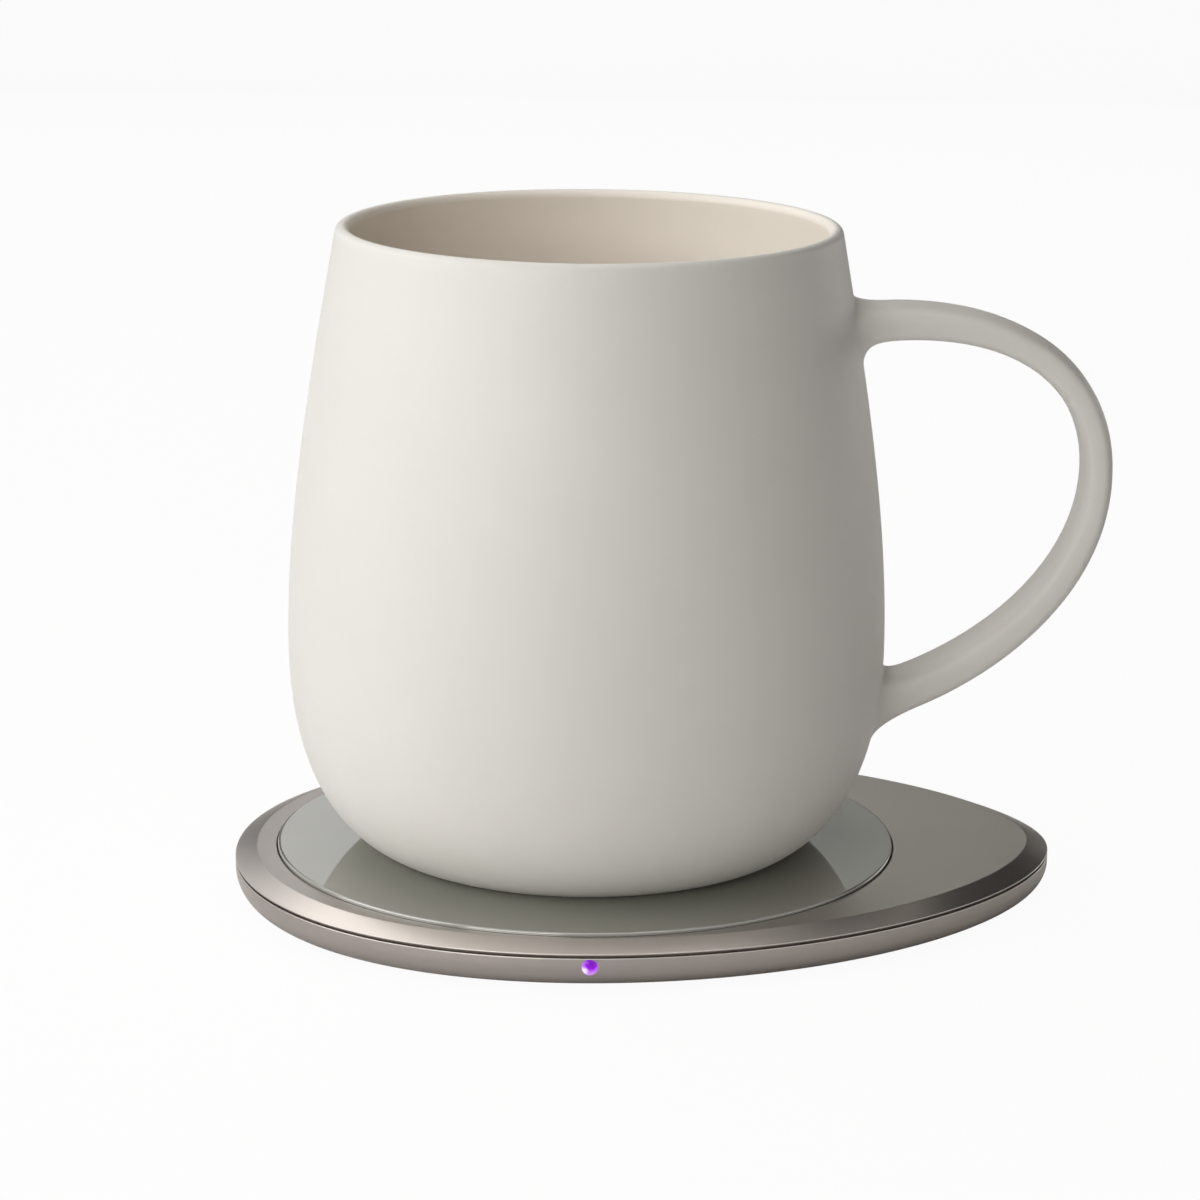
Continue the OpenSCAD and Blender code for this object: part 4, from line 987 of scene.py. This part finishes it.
def pale_floor():
    """Pale matte floor that the camera sees as nearly white."""
    finish, tree, shader = new_finish("pale floor")
    shader.inputs["Base Color"].default_value = (0.9, 0.9, 0.9, 1)
    shader.inputs["Roughness"].default_value = 0.9
    white = add_node(tree, "ShaderNodeEmission", [("Color", (1, 1, 1, 1)), ("Strength", 1.0)])
    both = add_node(tree, "ShaderNodeMixShader", [
        (0, seen_share(tree, camera_share=0.95, mirror_share=0.0)),
        (1, shader.outputs["BSDF"]), (2, white.outputs["Emission"])])
    tree.links.new(both.outputs["Shader"], tree.nodes["Material Output"].inputs["Surface"])
    return finish


def flat_sheet(name, size, finish):
    """Level rectangle about the origin."""
    w, h = size[0] / 2, size[1] / 2
    mesh = bpy.data.meshes.new(name)
    mesh.from_pydata([(-w, -h, 0), (w, -h, 0), (w, h, 0), (-w, h, 0)], [], [(0, 1, 2, 3)])
    mesh.materials.append(finish)
    return add_object(name, mesh)


def aim_at(thing, place, aim, front):
    """Puts an object at a place, with its front axis towards a point."""
    thing.location = place
    thing.rotation_mode = "QUATERNION"
    thing.rotation_quaternion = (Vector(aim) - Vector(place)).to_track_quat(front, "Y")


def add_card(name, finish, place, size):
    """Flat card facing the object, out of the camera's sight."""
    card = flat_sheet(name, size, finish)
    aim_at(card, place, CARD_AIM, "Z")
    card.visible_camera = False


floor = flat_sheet("floor", FLOOR_SIZE, pale_floor())


def add_softbox(name, place, size, power, colour):
    """Area lamp facing the object."""
    lamp = bpy.data.lights.new(name, "AREA")
    lamp.shape, lamp.size, lamp.size_y = "RECTANGLE", *size
    lamp.energy, lamp.color = power, colour
    aim_at(add_object(name, lamp), place, LAMP_AIM, "-Z")


def bearing(azimuth, elevation, distance):
    """Point seen from the object at an azimuth (0 to the front, positive to the right) and elevation."""
    a, e = math.radians(azimuth), math.radians(elevation)
    return (distance * math.sin(a) * math.cos(e), -distance * math.cos(a) * math.cos(e), distance * math.sin(e))


add_softbox("left softbox", bearing(-78, 30, LAMP_FAR), size=(1.0, 0.6), power=6.4, colour=(1.0, 1.0, 1.0))
add_softbox("front softbox", bearing(-26, 22, LAMP_FAR), size=(0.7, 0.5), power=4.2, colour=(1.0, 0.97, 0.92))
add_softbox("top softbox", bearing(20, 82, LAMP_FAR), size=(0.6, 0.6), power=1.5, colour=(1.0, 0.96, 0.91))
add_softbox("back softbox", bearing(-162, 64, LAMP_FAR), size=(1.2, 1.2), power=6.0, colour=(1.0, 0.97, 0.93))
add_softbox("right strip", bearing(134, 7, 0.9), size=(0.4, 0.16), power=0.3, colour=(1.0, 0.97, 0.93))

black_cloth = grained_finish(
    "black cloth", tone=(0.02, 0.02, 0.02), second=(0.03, 0.03, 0.03),
    patch=30.0, grain=800.0, rough=(0.8, 0.95), bump=(0.0, 0.001), specular=0.1)
pale_paper = grained_finish(
    "pale paper", tone=(0.88, 0.92, 0.88), second=(0.86, 0.9, 0.86),
    patch=30.0, grain=800.0, rough=(0.8, 0.95), bump=(0.0, 0.001), specular=0.1)
add_card("right flag", black_cloth, bearing(136, 43, 0.9), size=(1.0, 0.95))
add_card("back card", pale_paper, bearing(166, 14, 1.05), size=(0.6, 0.75))
add_card("low back flag", black_cloth, bearing(178, 5, 1.0), size=(0.85, 0.25))
add_card("left back flag", black_cloth, bearing(-163, 18, 1.0), size=(0.3, 0.16))

world = bpy.data.worlds.new("white studio")
bpy.context.scene.world = world
world.use_nodes = True
tree = world.node_tree
backdrop = tree.nodes["Background"]
backdrop.inputs["Color"].default_value = (1, 1, 1, 1)
backdrop.inputs["Strength"].default_value = 1.0
soft = add_node(tree, "ShaderNodeBackground", [("Color", (1.0, 0.87, 0.77, 1)), ("Strength", 0.04)])
choose = add_node(tree, "ShaderNodeMixShader", [
    (0, seen_share(tree, camera_share=1.0, mirror_share=1.0)),
    (1, soft.outputs["Background"]), (2, backdrop.outputs["Background"])])
tree.links.new(choose.outputs["Shader"], tree.nodes["World Output"].inputs["Surface"])

bpy.context.scene.view_settings.view_transform = "Standard"

camera = bpy.data.cameras.new("camera")
camera.lens, camera.sensor_width = CAMERA_LENS, CAMERA_SENSOR
camera.clip_start, camera.clip_end = CAMERA_CLIP
eye = add_object("camera", camera)
pitch, yaw, roll = (math.radians(a) for a in (CAMERA_PITCH, CAMERA_YAW, CAMERA_ROLL))
level = Vector((math.cos(yaw), -math.sin(yaw), 0))
upward = Vector((math.sin(yaw) * math.sin(pitch), math.cos(yaw) * math.sin(pitch), math.cos(pitch)))
ahead = Vector((math.sin(yaw) * math.cos(pitch), math.cos(yaw) * math.cos(pitch), -math.sin(pitch)))
right = math.cos(roll) * level - math.sin(roll) * upward
upright = math.sin(roll) * level + math.cos(roll) * upward
turn = Matrix((right, upright, -ahead)).transposed().to_4x4()
eye.matrix_world = Matrix.Translation(CAMERA_PLACE) @ turn
bpy.context.scene.camera = eye
